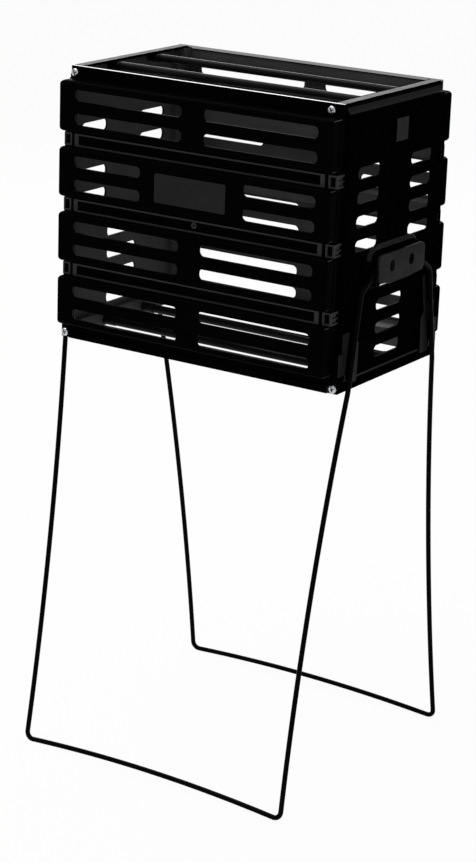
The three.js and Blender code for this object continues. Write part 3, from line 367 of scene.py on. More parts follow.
def prism(outline, axis, start, end):
    """A solid with that outline, pushed along the axis from start to end."""
    outline = tidy(outline)
    return loft(outline, outline, axis, start, end)


def block(x0, x1, y0, y1, z0, z1):
    return prism([(x0, y0), (x1, y0), (x1, y1), (x0, y1)], "Z", z0, z1)


def circle(shape, centre, one, other, radius, sides):
    """A ring of vertices in the plane of two directions, flattened where it meets the floor."""
    ring = []
    for i in range(sides):
        angle = 2 * math.pi * i / sides
        spot = centre + (one * math.cos(angle) + other * math.sin(angle)) * radius
        spot.z = max(spot.z, 0.0)
        ring.append(shape.verts.new(spot * MM))
    return ring


def skin(shape, rings, sides):
    """Faces between neighbouring rings. A ring of one vertex is a tip."""
    for low, high in zip(rings, rings[1:]):
        for i in range(sides):
            j = (i + 1) % sides
            if len(low) == 1:
                shape.faces.new((low[0], high[i], high[j]))
            elif len(high) == 1:
                shape.faces.new((low[i], low[j], high[0]))
            else:
                shape.faces.new((low[i], low[j], high[j], high[i]))


def turned(profile, centre, direction, sides=ROUND_SIDES):
    """A solid turned about an axis: pairs of radius and distance along the direction."""
    shape = bmesh.new()
    direction = Vector(direction).normalized()
    side = direction.orthogonal().normalized()
    other = direction.cross(side)
    rings = []
    for radius, along in profile:
        middle = Vector(centre) + direction * along
        if radius < SAME_POINT:
            rings.append([shape.verts.new(middle * MM)])
        else:
            rings.append(circle(shape, middle, side, other, radius, sides))
    skin(shape, rings, sides)
    return facing_out(shape)


def rod(radius, low, high):
    """The profile of a plain round rod, to be turned."""
    return [(0, low), (radius, low), (radius, high), (0, high)]


def fill_mesh(mesh, shape):
    shape.to_mesh(mesh)
    shape.free()


def together(shapes):
    """Several shapes as one bmesh."""
    whole = bmesh.new()
    for shape in shapes:
        part = bpy.data.meshes.new("part")
        fill_mesh(part, shape)
        whole.from_mesh(part)
        bpy.data.meshes.remove(part)
    return whole


def as_shape(*meshes):
    shape = bmesh.new()
    for mesh in meshes:
        shape.from_mesh(mesh)
    return shape


def in_scene(data, name):
    piece = bpy.data.objects.new(name, data)
    bpy.context.scene.collection.objects.link(piece)
    return piece


def as_object(shape, name):
    mesh = bpy.data.meshes.new(name)
    fill_mesh(mesh, shape)
    return in_scene(mesh, name)


def apply_modifiers(piece):
    bpy.context.view_layer.update()
    seen = piece.evaluated_get(bpy.context.evaluated_depsgraph_get())
    mesh = bpy.data.meshes.new_from_object(seen)
    old = piece.data
    piece.modifiers.clear()
    piece.data = mesh
    bpy.data.meshes.remove(old)
    mesh.name = piece.name


def combine(piece, shapes, operation="DIFFERENCE"):
    """Cuts shapes out of a piece, or joins them to it."""
    tool = as_object(together(shapes), "tool")
    step = piece.modifiers.new("combine", "BOOLEAN")
    step.operation = operation
    step.solver = "EXACT"
    step.use_self = True
    step.object = tool
    apply_modifiers(piece)
    mesh = tool.data
    bpy.data.objects.remove(tool)
    bpy.data.meshes.remove(mesh)


def join_shapes(piece, shapes):
    """Adds closed shapes that are set into the piece's surface."""
    whole = together(shapes)
    whole.from_mesh(piece.data)
    fill_mesh(piece.data, whole)


def clean(piece):
    """Takes out the slivers that cutting leaves."""
    shape = as_shape(piece.data)
    bmesh.ops.remove_doubles(shape, verts=shape.verts, dist=SLIVER * MM)
    bmesh.ops.dissolve_degenerate(shape, edges=shape.edges, dist=SLIVER * MM)
    fill_mesh(piece.data, shape)


def soften(piece, width, segments=2, angle=32.0):
    """Small rounds on the moulded edges, and smooth shading between sharp ones."""
    if width > 0:
        step = piece.modifiers.new("edges", "BEVEL")
        step.width = width * MM
        step.segments = segments
        step.limit_method = "ANGLE"
        step.angle_limit = math.radians(angle)
        step.miter_outer = "MITER_ARC"
        apply_modifiers(piece)
    mesh = piece.data
    mesh.polygons.foreach_set("use_smooth", [True] * len(mesh.polygons))
    mesh.set_sharp_from_angle(angle=math.radians(38.0))
    step = piece.modifiers.new("weights", "WEIGHTED_NORMAL")
    step.keep_sharp = True
    step.weight = 80
    apply_modifiers(piece)


def half_turned(piece, name):
    """The same piece on the other side of the hopper."""
    mesh = piece.data.copy()
    mesh.transform(Matrix.Rotation(math.pi, 4, "Z"))
    return in_scene(mesh, name)


def paint(piece, *coats):
    """Finishes for the whole piece, or for the faces chosen by their centre and normal."""
    finishes = piece.data.materials
    for finish, chosen in coats:
        finishes.append(finish)
        for face in piece.data.polygons if chosen else ():
            if chosen(face.center / MM, face.normal):
                face.material_index = len(finishes) - 1


def dress(piece, node, finish, body="basket"):
    if not piece.data.materials:
        piece.data.materials.append(finish)
    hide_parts(node)
    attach(piece, body)


def dress_pair(piece, twin_name, nodes, finish, bodies=("basket", "basket")):
    """Dresses a node with the piece and the node across the hopper with its twin."""
    twin = half_turned(piece, twin_name)
    for one, node, body in zip((piece, twin), nodes, bodies):
        dress(one, node, finish, body)


def band_top(band):
    return BAND_TOP - band * BAND_PITCH


def groove_centre(groove):
    return band_top(groove + 1) + (BAND_PITCH - BAND_HEIGHT) / 2


def span(side, near, far):
    """The lower and the upper end of a stretch on one side of the middle."""
    return sorted((side * near, side * far))


def facing_front(outline):
    """Depth outwards to depth along Y on the front side."""
    return [(-u, v) for u, v in outline][::-1]


# Long walls


def long_wall_section():
    bottom = BOTTOM
    points = [(FLANGE_BACK, bottom), (LIP_FACE, bottom)]
    points += [(LIP_FACE, bottom + LIP_HEIGHT), (RIM_FACE, bottom + LIP_HEIGHT + 1.0)]
    for band in reversed(range(BAND_COUNT)):
        top = band_top(band)
        low = top - BAND_HEIGHT
        face = BAND_FACE - BAND_ROUND
        points.append((RIM_FACE if band == BAND_COUNT - 1 else GROOVE_FACE, low))
        points += arc(face, low + BAND_ROUND, BAND_ROUND, -90, 0, 10)
        points += arc(face, top - BAND_ROUND, BAND_ROUND, 0, 90, 10)
        points.append((RIM_FACE if band == 0 else GROOVE_FACE, top))
    bead = 1.0
    points += arc(RIM_FACE - bead, RIM_TOP - bead, bead, 0, 90, 3)
    points.append((FLANGE_BACK, RIM_TOP))
    return facing_front(points)


def hollow_section():
    """The space inside the bands and behind the grooves."""
    back = FLANGE_BACK - 6.0
    round_in = 2.5
    points = [(back, band_top(BAND_COUNT - 1) - BAND_HEIGHT + WALL - 2.1)]
    for band in reversed(range(BAND_COUNT)):
        top = band_top(band) - WALL
        low = band_top(band) - BAND_HEIGHT + WALL
        groove = GROOVE_FACE - WALL
        face = BAND_FACE - WALL - round_in
        if band < BAND_COUNT - 1:
            points.append((groove, low))
        points += arc(face, low + round_in, round_in, -90, 0, 4)
        points += arc(face, top - round_in, round_in, 0, 90, 4)
        if band > 0:
            points.append((groove, top))
    points.append((back, band_top(0) - WALL))
    return facing_front(points)


def slot_outline(low, high, z):
    return rounded_box(low, high, z - SLOT_HEIGHT / 2, z + SLOT_HEIGHT / 2, SLOT_ROUND, 9)


def long_slots():
    """Two rows of slots on either side of each band's middle. The lowest band's sit lower."""
    for band in range(BAND_COUNT):
        drop = 0.7 if band == BAND_COUNT - 1 else 0
        centre = band_top(band) - BAND_HEIGHT / 2 - drop
        inner = SHORT_SLOT_INNER if band == LABEL_BAND else LONG_SLOT_INNER
        for row in (-1, 1):
            z = centre + row * SLOT_ROW_OFFSET
            for side in (-1, 1):
                outline = slot_outline(*span(side, inner, LONG_SLOT_OUTER), z)
                yield prism(outline, "Y", -BAND_FACE - OVERRUN, -GROOVE_FACE)


def groove_pockets():
    """Clip windows at the groove's ends, on the front and on the side flange."""
    face = -GROOVE_FACE
    depth = 1.2
    side_windows = ((-0.6, 2.8), (-5.9, -2.5))
    for groove in range(BAND_COUNT - 1):
        z = groove_centre(groove)
        for side in (-1, 1):
            across = span(side, CLIP_POST + 0.1, CLIP_FAR_POST - 0.1)
            yield block(*across, face - OVERRUN, face + depth, z - 6.2, z + 3.8)
            deep = span(side, RIM_END - depth, RIM_END + OVERRUN)
            for low, high in side_windows:
                yield block(*deep, -108.4, -98.0, z + low, z + high)


def groove_frames():
    """Raised lines along each groove, with a clip frame round the corner at each end."""
    front = -GROOVE_FACE - GROOVE_LINE_RISE
    back = -GROOVE_FACE + OVERRUN
    frame_front = -GROOVE_FACE - 0.5
    posts = ((CLIP_POST - 2.1, CLIP_POST), (CLIP_FAR_POST, RIM_END))
    teeth = ((3.0, CLIP_TOP), (-2.3, -0.8), (CLIP_LOW, -6.1))
    corner, tooth_front, tooth_back = -111.3, -108.6, -97.0
    for groove in range(BAND_COUNT - 1):
        z = groove_centre(groove)
        for low, high in GROOVE_LINES:
            yield block(-GROOVE_LINE_END, GROOVE_LINE_END, front, back, z + low, z + high)
        for side in (-1, 1):
            end_bar = span(side, GROOVE_LINE_END - 5.0, GROOVE_LINE_END)
            yield block(*end_bar, front, back, z - 6.3, z + 3.9)
            for near, far in posts:
                yield block(*span(side, near, far), frame_front, back, z + CLIP_LOW, z + CLIP_TOP)
            across = span(side, CLIP_POST, CLIP_FAR_POST)
            for low, high in GROOVE_LINES:
                yield block(*across, frame_front, back, z + low, z + high)
            proud = span(side, RIM_END - OVERRUN, RIM_END + 0.4)
            yield block(*proud, corner, tooth_front, z + CLIP_LOW, z + CLIP_TOP)
            for low, high in teeth:
                yield block(*proud, tooth_front, tooth_back, z + low, z + high)


def ear_beads():
    """Upright beads on the ends of each band."""
    clear = BAND_ROUND + 1.5
    rise = 0.8
    front, back = -109.0, -106.0
    for band in range(BAND_COUNT):
        top = band_top(band)
        for side in (-1, 1):
            across = span(side, RIM_END - OVERRUN, RIM_END + rise)
            yield block(*across, front, back, top - BAND_HEIGHT + clear, top - clear)


def rim_corner_cutters():
    """Rounds the rim's corners as seen from above."""
    radius = 4.0
    for side in (-1, 1):
        x = side * (RIM_END - radius)
        y = -RIM_FACE + radius
        far_x = side * (RIM_END + OVERRUN)
        far_y = -RIM_FACE - OVERRUN
        start, end = (270, 360) if side > 0 else (270, 180)
        outline = arc(x, y, radius, start, end, 8) + [(far_x, y), (far_x, far_y), (x, far_y)]
        yield prism(outline, "Z", BAND_TOP + FIT_GAP, RIM_TOP + OVERRUN)


def ear_corner_cutters():
    """Rounds the corners of each band as seen from the front."""
    radius = 4.5
    quarters = ((-1, -1, 180, 270), (-1, 1, 180, 90), (1, -1, 0, -90), (1, 1, 0, 90))
    for band in range(BAND_COUNT):
        for side, end, start, stop in quarters:
            x = side * (RIM_END - radius)
            far_x = side * (RIM_END + 3.0)
            edge = band_top(band) - (BAND_HEIGHT if end < 0 else 0)
            past = edge + end * 0.5
            z = edge - end * radius
            outline = arc(x, z, radius, start, stop, 8) + [(x, past), (far_x, past), (far_x, z)]
            outermost = (band, end) in ((0, 1), (BAND_COUNT - 1, -1))
            deep = -RIM_FACE - 0.8 if outermost else -GROOVE_FACE
            yield prism(outline, "Y", -BAND_FACE - OVERRUN, deep)


def long_wall():
    half = RIM_END
    past = half + 5.0
    inner = -RIM_FACE + RIM_WALL
    behind = -FLANGE_BACK + OVERRUN
    lip = inner + 0.8
    lip_low = RIM_TOP - LIP_BEHIND_RIM
    lip_slope = lip - 2.4
    lip_end = 154.0
    top = RIM_TOP + OVERRUN
    foot = (BOTTOM - OVERRUN, band_top(BAND_COUNT - 1) - BAND_HEIGHT)
    rim_space = [(behind, BAND_TOP), (behind, top), (lip_slope, top), (lip_slope, RIM_TOP)]
    rim_space += [(lip, RIM_TOP - 2.0), (lip, lip_low), (inner, lip_low - 0.6), (inner, BAND_TOP)]
    hollow = [prism(hollow_section(), "X", -half + WALL, half - WALL)]
    spaces = [prism(rim_space, "X", -past, past), block(-past, past, inner, behind, *foot)]
    past_lip, notches = [], []
    for side in (-1, 1):
        lip_span = span(side, lip_end, past)
        past_lip.append(block(*lip_span, inner, behind, lip_low - 2.0, top))
        ear_span = span(-side, STRIP_END, past)
        notches.append(block(*ear_span, -BAND_FACE, behind, *foot))
    holes = [*long_slots(), *groove_pockets(), *rim_corner_cutters(), *ear_corner_cutters()]
    shank = rod(SCREW_BORE_RADIUS, -12, 12)
    for x in (TOP_SCREW_LEFT, TOP_SCREW_RIGHT):
        holes.append(turned(shank, (x, -RIM_FACE, TOP_SCREW_HEIGHT), (0, -1, 0), BORE_SIDES))
    piece = as_object(prism(long_wall_section(), "X", -half, half), "front_wall")
    for shapes in (hollow, spaces, past_lip, notches, holes):
        combine(piece, shapes)
    clean(piece)
    join_shapes(piece, [*groove_frames(), *ear_beads()])
    soften(piece, 0.45)
    boss = [(0, -OVERRUN), (3.7, -OVERRUN), (3.7, 0.9), (3.3, 1.3), (1.4, 1.3), (1.4, -1.7), (0, -1.7)]
    ring = as_object(turned(boss, (0, -GROOVE_FACE, groove_centre(1)), (0, -1, 0)), "boss")
    soften(ring, 0)
    fill_mesh(piece.data, as_shape(piece.data, ring.data))
    bpy.data.objects.remove(ring)
    return piece


# End walls


def leg_depth(z):
    return -(LEG_SLOPE_OFFSET + LEG_SLOPE * (LEG_SLOPE_HEIGHT - z))


def leg_half_length(z):
    rise = (z - LEG_WAIST_HEIGHT) / (LEG_STRAIGHT_HEIGHT - LEG_WAIST_HEIGHT)
    spread = LEG_TOP_OFFSET - LEG_WAIST_OFFSET
    return min(LEG_TOP_OFFSET, LEG_WAIST_OFFSET + spread * rise * rise)


def both_sides(outline):
    return [outline, facing_front(outline)]


def leg_stops():
    """Corner blocks that stop each leg, with a step above them."""
    clear = WIRE_RADIUS + WIRE_CLEARANCE
    stop_top = RIM_TOP - 258
    step_top = RIM_TOP - 237
    stop_span = (RIM_END + FIT_GAP, END_LIP_FACE)
    step_span = (END_FACE - OVERRUN, END_FACE + 1.5)
    for edge, low, high, sunk, across in (
        (-RIM_FACE, BOTTOM, stop_top, 0, stop_span),
        (-95.5, stop_top, step_top, OVERRUN, step_span),
    ):
        outline = [
            (edge, low - sunk),
            (leg_depth(low) - clear, low - sunk),
            (leg_depth(high) - clear, high),
            (edge, high),
        ]
        yield from (prism(o, "X", *across) for o in both_sides(outline))


def leg_guides():
    """Ribs beside the legs, on the inner side, that widen into a foot."""
    clear = WIRE_RADIUS + WIRE_CLEARANCE
    width = 5.5
    top = LEG_GUIDE_TOP
    bend = RIM_TOP - 246
    foot = RIM_TOP - 292
    outline = [
        (leg_depth(foot) + clear, foot),
        (-67.0, foot),
        (leg_depth(bend) + clear + 2 * width, bend - width),
        (leg_depth(bend) + clear + width, bend),
        (leg_depth(top) + clear + width, top),
        (leg_depth(top) + clear, top),
    ]
    return [prism(o, "X", END_FACE - OVERRUN, PAD_FACE) for o in both_sides(outline)]


def end_slots():
    """Pairs of slots above the pivots and single ones below them."""
    top_row, low_row, pitch = RIM_TOP - 73.5, RIM_TOP - 270.4, 25.3
    pair = ((-77.0, -31.0), (31.0, 77.0))
    single = ((-27.5, 27.5),)
    rows = [(top_row - pitch * row, pair) for row in range(4)]
    rows += [(low_row + pitch * row, single) for row in range(4)]
    for z, spans in rows:
        for y0, y1 in spans:
            outline = slot_outline(y0, y1, z)
            yield prism(outline, "X", END_INNER - OVERRUN, PAD_FACE + OVERRUN)


def end_hollow():
    """What is taken out behind the end wall, so that it is a sheet with a frame round it."""
    edge = END_EDGE - END_SHEET
    back = END_FACE - END_SHEET
    hollow = block(END_INNER - OVERRUN, back, -edge, edge, BOTTOM + 15.5, RIM_TOP - 17)
    hollow = as_object(hollow, "hollow")
    for side in (-1, 1):
        pin = (END_INNER, side * PIVOT_OFFSET, PIVOT_HEIGHT)
        hub = (END_INNER, side * WELL_OFFSET, WELL_HEIGHT)
        for radius, centre in ((6.5, pin), (4.0, hub)):
            combine(hollow, [turned(rod(radius, -5, 10), centre, (1, 0, 0), 32)])
    shape = as_shape(hollow.data)
    bpy.data.objects.remove(hollow)
    return shape


def end_wall_section(rim_round):
    """From the lip at the foot over the sheet and the cove to the rim's flange."""
    cove = END_FACE - RIM_END
    steps = 8
    section = [(END_INNER, BOTTOM), (END_LIP_FACE, BOTTOM)]
    section += [(END_LIP_FACE, END_LIP_TOP - 1.0), (END_FACE, END_LIP_TOP)]
    for i in range(steps + 1):
        angle = math.radians(90 * i / steps)
        out = END_FACE - cove * math.sin(angle)
        section.append((out, COVE_TOP - COVE_HEIGHT * math.cos(angle)))
    return section + rim_round + [(END_INNER, FLANGE_HIGH)]


def end_wall_blocks(rim_round):
    """Rim, flange, corner blocks and pivot pad, to be joined to the end wall."""
    rim_low = BAND_TOP + FIT_GAP
    rim = [(END_INNER, rim_low), (RIM_END, rim_low)] + rim_round + [(END_INNER, FLANGE_HIGH)]
    past = END_INNER + OVERRUN
    corner_top = band_top(BAND_COUNT - 1) - BAND_HEIGHT - FIT_GAP
    flange_inner = 154.8
    slope, face_drop = 4.0, 4.5
    half = PAD_HALF_WIDTH
    pad = rounded_box(-half, half, PAD_LOW, PAD_TOP, 16.0, 10)
    pad_face = rounded_box(slope - half, half - slope, PAD_LOW + slope, PAD_TOP - face_drop, 12.0, 10)
    yield prism(rim, "Y", -END_RIM_EDGE, END_RIM_EDGE)
    yield block(flange_inner, past, -END_RIM_EDGE, END_RIM_EDGE, FLANGE_LOW, FLANGE_HIGH)
    for side in (-1, 1):
        corner = span(side, RIM_FACE, END_EDGE - 8.0)
        yield block(END_INNER, END_LIP_FACE, *corner, BOTTOM, corner_top)
        beside = span(side, END_RIM_EDGE, END_RIM_EDGE - 10.5)
        start = top_screw_place(side) - 4.8
        yield block(start, past, *beside, RIM_TOP - 12, RIM_TOP - 1)
    yield prism(pad, "X", END_FACE - OVERRUN, END_FACE + 0.3)
    yield loft(pad, pad_face, "X", END_FACE + 0.2, PAD_FACE)
    yield from leg_stops()


def top_screw_place(side):
    """Along X, of the right end's upper screw on the front side or the rear side."""
    return TOP_SCREW_RIGHT if side < 0 else -TOP_SCREW_LEFT


def end_wall_trims():
    """The handle catch with its tongue, and the raised strip along the flange."""
    wing, tongue = 33.0, 12.0
    top = RIM_TOP - 25
    low = RIM_TOP - 49
    ledge = 2
    back = END_FACE - OVERRUN
    sheet = END_FACE + 0.8
    ledge_face = END_FACE + 1.8
    return [
        block(back, sheet, -wing, wing, low, top),
        block(back, ledge_face, -wing, wing, top - ledge, top + ledge),
        block(back, ledge_face, -wing, wing, low - ledge, low),
        block(back, END_FACE + CATCH_TONGUE, -tongue, tongue, low, top),
        block(157.9, 168.4, -END_RIM_EDGE, END_RIM_EDGE, RIM_TOP - 1.2, RIM_TOP),
    ]


def end_wall():
    radius = 2.0
    rim_round = arc(RIM_END - radius, FLANGE_HIGH - radius, radius, 0, 90, 6)
    piece = as_object(prism(end_wall_section(rim_round), "Y", -END_EDGE, END_EDGE), "right_end_wall")
    for shape in end_wall_blocks(rim_round):
        combine(piece, [shape], "UNION")
    combine(piece, [end_hollow()])
    holes = list(end_slots())
    shank = rod(SCREW_BORE_RADIUS, -13, 13)
    pin = [(0, -20), (3.05, -20), (3.05, -1.6), (3.8, -1.6), (3.8, 1.6), (0, 1.6)]
    for side in (-1, 1):
        out = (0, side, 0)
        y = side * RIM_FACE
        holes.append(turned(shank, (top_screw_place(side), y, TOP_SCREW_HEIGHT), out, BORE_SIDES))
        holes.append(turned(shank, (LOW_SCREW_OFFSET, y, LOW_SCREW_HEIGHT), out, BORE_SIDES))
        pivot = (PAD_FACE, side * PIVOT_OFFSET, PIVOT_HEIGHT)
        holes.append(turned(pin, pivot, (1, 0, 0), 28))
    combine(piece, holes)
    clean(piece)
    join_shapes(piece, end_wall_trims() + leg_guides())
    soften(piece, 0.5)
    return piece


def hub_cover():
    """Cover plate with two oval wells on tubes and a shelf along its lower edge."""
    back = PAD_FACE + FIT_GAP
    plate_back = COVER_FACE - 2.6
    top = RIM_TOP - 161.8
    low = RIM_TOP - 194.4
    half, corner = 41.0, 7
    sag, sag_half, sag_steps = 2.2, 38.6, 12
    shelf_low, shelf_high = low + 1.4, low + 4.2
    outline = arc(half, top - corner, corner, 0, 90, 8)
    outline += arc(-half, top - corner, corner, 90, 180, 8)
    outline += arc(-half, low + 9, corner, 180, 250, 6)
    for i in range(1, sag_steps):
        share = i / sag_steps
        y = sag_half * (2 * share - 1)
        outline.append((y, low + sag - sag * math.sin(math.pi * share)))
    outline += arc(half, low + 9, corner, 290, 360, 6)
    piece = as_object(prism(outline, "X", plate_back, COVER_FACE), "right_cover")
    tubes, wells, bores = [], [], []
    for side in (-1, 1):
        y, z = side * WELL_OFFSET, WELL_HEIGHT
        ring = rounded_box(y - 6.5, y + 6.5, z - 7.8, z + 7.8, 6.4, 9)
        well = rounded_box(y - 5.0, y + 5.0, z - 6.3, z + 6.3, 4.9, 9)
        tubes.append(prism(ring, "X", back, plate_back + OVERRUN))
        wells.append(prism(well, "X", back + WELL_FLOOR, COVER_FACE + OVERRUN))
        bores.append(turned(rod(1.8, -3, 4), (back, y, z), (1, 0, 0), BORE_SIDES))
    shelf = [(-half, shelf_low), (-half, shelf_high), (half, shelf_high), (half, shelf_low)]
    tubes.append(prism(shelf, "X", back, plate_back + OVERRUN))
    for shape in tubes:
        combine(piece, [shape], "UNION")
    combine(piece, wells)
    combine(piece, bores)
    clean(piece)
    soften(piece, 0.6, 3)
    return piece


# Small parts


def screw(name, centre, direction, head, height, shank, length):
    """Pan head with a cross recess, its seat at the centre."""
    profile = [(0, -length), (shank * 0.7, -length), (shank, -length + 1), (shank, 0), (head, 0)]
    profile += [(head, height * 0.25)]
    for i in range(1, 8):
        angle = math.radians(90 * i / 7)
        radius = head * (0.45 + 0.55 * math.cos(angle))
        profile.append((radius, height * (0.25 + 0.75 * math.sin(angle))))
    profile.append((0, height))
    piece = as_object(turned(profile, centre, direction), name)
    direction = Vector(direction)
    side = Vector((0, 0, 1)).cross(direction).normalized()
    tilt = math.radians(17.0)
    one = side * math.cos(tilt) + Vector((0, 0, 1)) * math.sin(tilt)
    other = direction.cross(one)
    reach = head * 0.7
    for along, across in ((one, other), (other, one)):
        shape = bmesh.new()
        rings = []
        for depth, grow in ((height - 1.5, 0.55), (height + 0.5, 1.0)):
            ring = []
            for u, v in ((-1, -1), (1, -1), (1, 1), (-1, 1)):
                point = along * (u * reach * grow) + across * (v * 0.75 * (0.7 + 0.3 * grow))
                ring.append(shape.verts.new((Vector(centre) + point + direction * depth) * MM))
            shape.faces.new(ring)
            rings.append(ring)
        skin(shape, rings, 4)
        combine(piece, [facing_out(shape)])
    clean(piece)
    soften(piece, 0.12, 2, 40.0)
    return piece


def screw_recess_shade(centre, direction, head, height):
    """Chooses the faces inside a screw's cross recess, to be painted dark steel as painted shade."""
    seat = Vector(centre)
    out = Vector(direction)

    def chosen(spot, normal):
        offset = spot - seat
        rise = offset.dot(out)
        spoke = (offset - out * rise).length
        steep = normal.dot(out) < 0.3
        return rise > 0.3 and spoke < head * 0.8 and (steep or rise < height - 1.2)

    return chosen


def rolling_bar(name, y, z, radius):
    """A bar with rounded ends and a thinner journal at each."""
    half = BAR_HALF_LENGTH
    end = half + JOURNAL_LENGTH
    round_off = 0.5
    chamfer = 0.3
    profile = [(0, -end), (JOURNAL_RADIUS - chamfer, -end), (JOURNAL_RADIUS, -end + chamfer)]
    profile += [(JOURNAL_RADIUS, -half), (radius - round_off, -half)]
    profile += [(radius - 0.15, -half + 0.15), (radius, -half + round_off)]
    profile += [(r, -a) for r, a in reversed(profile)]
    return as_object(turned(profile, (0, y, z), (1, 0, 0), 48), name)


def bar_bush(name, y, z, under_flange):
    """A bush with a blind bore and a stub in the end wall, cut flat under the rim's flange."""
    start = BAR_HALF_LENGTH + FIT_GAP
    long = END_INNER - FIT_GAP - start
    bore, outer = BUSH_BORE_RADIUS, BUSH_RADIUS
    bore_depth = JOURNAL_LENGTH + 1.0
    stub_radius = 2.2
    stub_end = long + 2.6
    profile = [(0, bore_depth), (bore, bore_depth), (bore, 0.3), (bore + 0.3, 0)]
    profile += [(outer - 0.6, 0), (outer - 0.15, 0.2), (outer, 0.7), (outer, long)]
    profile += [(stub_radius, long), (stub_radius, stub_end), (0, stub_end)]
    piece = as_object(turned(profile, (start, y, z), (1, 0, 0)), name)
    if under_flange:
        top = FLANGE_LOW - FIT_GAP
        beside = outer + 2.7
        above = block(start - 2, 172, y - beside, y + beside, top, top + 9)
        combine(piece, [above])
        clean(piece)
    soften(piece, 0)
    return piece


def label_plate():
    centre = band_top(LABEL_BAND) - BAND_HEIGHT / 2
    outline = rounded_box(-44.5, 44.5, centre - 15.5, centre + 15.5, 2.0, 6)
    back = -BAND_FACE - FIT_GAP
    piece = as_object(prism(outline, "Y", back - 1.2, back), "label_blank")
    soften(piece, 0.35, 3)
    return piece


# Wire frames


def bend(before, corner, after, radius, steps=12):
    to_before = (before - corner).normalized()
    to_after = (after - corner).normalized()
    half = to_before.angle(to_after) / 2
    centre = corner + (to_before + to_after).normalized() * (radius / math.sin(half))
    start = corner + to_before * (radius / math.tan(half)) - centre
    end = corner + to_after * (radius / math.tan(half)) - centre
    sweep = start.angle(end)
    points = []
    for i in range(steps + 1):
        share = i / steps
        from_start = math.sin((1 - share) * sweep) / math.sin(sweep)
        from_end = math.sin(share * sweep) / math.sin(sweep)
        points.append(centre + start * from_start + end * from_end)
    return points


def leg_path():
    """Centre line from the pivot pin on the right to the middle of the floor bar."""
    foot_round = 8.0
    half = leg_half_length(0)
    foot_rise = FLOOR_BAR_ARCH * (1 - ((half - foot_round) / half) ** 2)
    foot_height = WIRE_RADIUS - FOOT_FLAT - foot_rise
    foot_half = leg_half_length(foot_height)
    foot_depth = leg_depth(foot_height)

    def leg_point(z):
        return Vector((leg_half_length(z), leg_depth(z), z))

    def bar_point(x):
        rise = FLOOR_BAR_ARCH * (1 - (x / foot_half) ** 2)
        return Vector((x, foot_depth + rise * LEG_SLOPE, foot_height + rise))

    pin_end = Vector((160.5, -PIVOT_OFFSET, PIVOT_HEIGHT))
    elbow = Vector((LEG_TOP_OFFSET, -PIVOT_OFFSET, PIVOT_HEIGHT))
    shoulder = leg_point(LEG_BEND_HEIGHT)
    high = leg_point(LEG_STRAIGHT_HEIGHT)
    low = leg_point(foot_height + 2 * foot_round)
    path = [pin_end, *bend(pin_end, elbow, shoulder, 5.0), *bend(elbow, shoulder, high, 10.0)]
    path += [leg_point(high.z + (low.z - high.z) * i / 40) for i in range(41)]
    bar_start = bar_point(foot_half - 2 * foot_round)
    path += bend(low, leg_point(foot_height), bar_start, foot_round)
    path += [bar_point(bar_start.x * (1 - i / 24)) for i in range(24)]
    path.append(bar_point(0.0))
    return path


def wire_frame():
    """One bent wire: two legs with their pins, and the floor bar between them."""
    right = leg_path()
    left = [Vector((-p.x, p.y, p.z)) for p in reversed(right[:-1])]
    path = right + left
    shape = bmesh.new()
    rings = []
    across = Vector((0, 0, 1))
    for i, point in enumerate(path):
        before = path[max(i - 1, 0)]
        after = path[min(i + 1, len(path) - 1)]
        ahead = ((point - before).normalized() + (after - point).normalized()).normalized()
        across = (across - ahead * across.dot(ahead)).normalized()
        rings.append(circle(shape, point, across, ahead.cross(across), WIRE_RADIUS, WIRE_SIDES))
    skin(shape, rings, WIRE_SIDES)
    shape.faces.new(rings[0][::-1])
    shape.faces.new(rings[-1])
    piece = as_object(facing_out(shape), "front_frame_wire")
    soften(piece, 0)
    return piece


# Build the hopper
SHELL = moulded_plastic("shell_black_plastic", 0.0011, 0.0028, 0.32, 0.05, 0.004)
# Painted light: the cove under the end rim and the leg stops, painted lighter where light falls on
# them.
COVE_PAINTED_LIGHT = moulded_plastic("cove_painted_light_plastic", 0.007, 0.012, 0.45, 0.05, 0.07)
# Painted shade: the same black plastic with its reflection taken out, so that the faces it goes on
# stay black as if in shade.
EDGE_PAINTED_SHADE = moulded_plastic("edge_painted_shade_plastic", 0.001, 0.002, 0.6, 0.05, 0.0)
# Painted highlight: the front rim's top, lighter and strongly reflective to stand for its bright line.
RIM_PAINTED_HIGHLIGHT = moulded_plastic("rim_painted_highlight_plastic", 0.006, 0.012, 0.12, 0.03, 1.0)
# Painted light: the rear rim's top and the end walls' flange strips, painted grey for the light they
# catch.
FLANGE_PAINTED_LIGHT = moulded_plastic("flange_painted_light_plastic", 0.01, 0.02, 0.5, 0.04, 0.14)
# Painted highlight: the rim's inner bead, painted grey for the light it catches.
RIM_BEAD_HIGHLIGHT = moulded_plastic("rim_bead_painted_highlight_plastic", 0.02, 0.04, 0.2, 0.03, 0.7)
# Painted light: the basket's inside, the same black plastic painted grey for the light that falls in
# it.
INSIDE_PAINTED_LIGHT = textured_painted_light_plastic("inside_painted_light_plastic", 0.042, 0.058, 0.62, 0.25)
# Painted light: groove lines, clip frames and the end lip's slope, painted grey where they catch the
# light.
RAISED_PAINTED_LIGHT = textured_painted_light_plastic("raised_painted_light_plastic", 0.032, 0.047, 0.55, 0.2)
# Painted light: grey on the hub covers' faces and, on the end wall, the catch's tongue and the pad's
# upper slope, where they catch the light.
COVER_PAINTED_LIGHT = textured_painted_light_plastic("cover_painted_light_plastic", 0.004, 0.024, 0.42, 0.055)
BUSH = moulded_plastic("bush_black_plastic", 0.003, 0.006, 0.5, 0.05, 0.1)
ROLLER = roller_finish()
WIRE = coated_wire_finish()
LABEL = label_finish()
ZINC = zinc_finish("bright_zinc", (0.86, 0.87, 0.88, 1), (0.66, 0.67, 0.69, 1), 0.2)
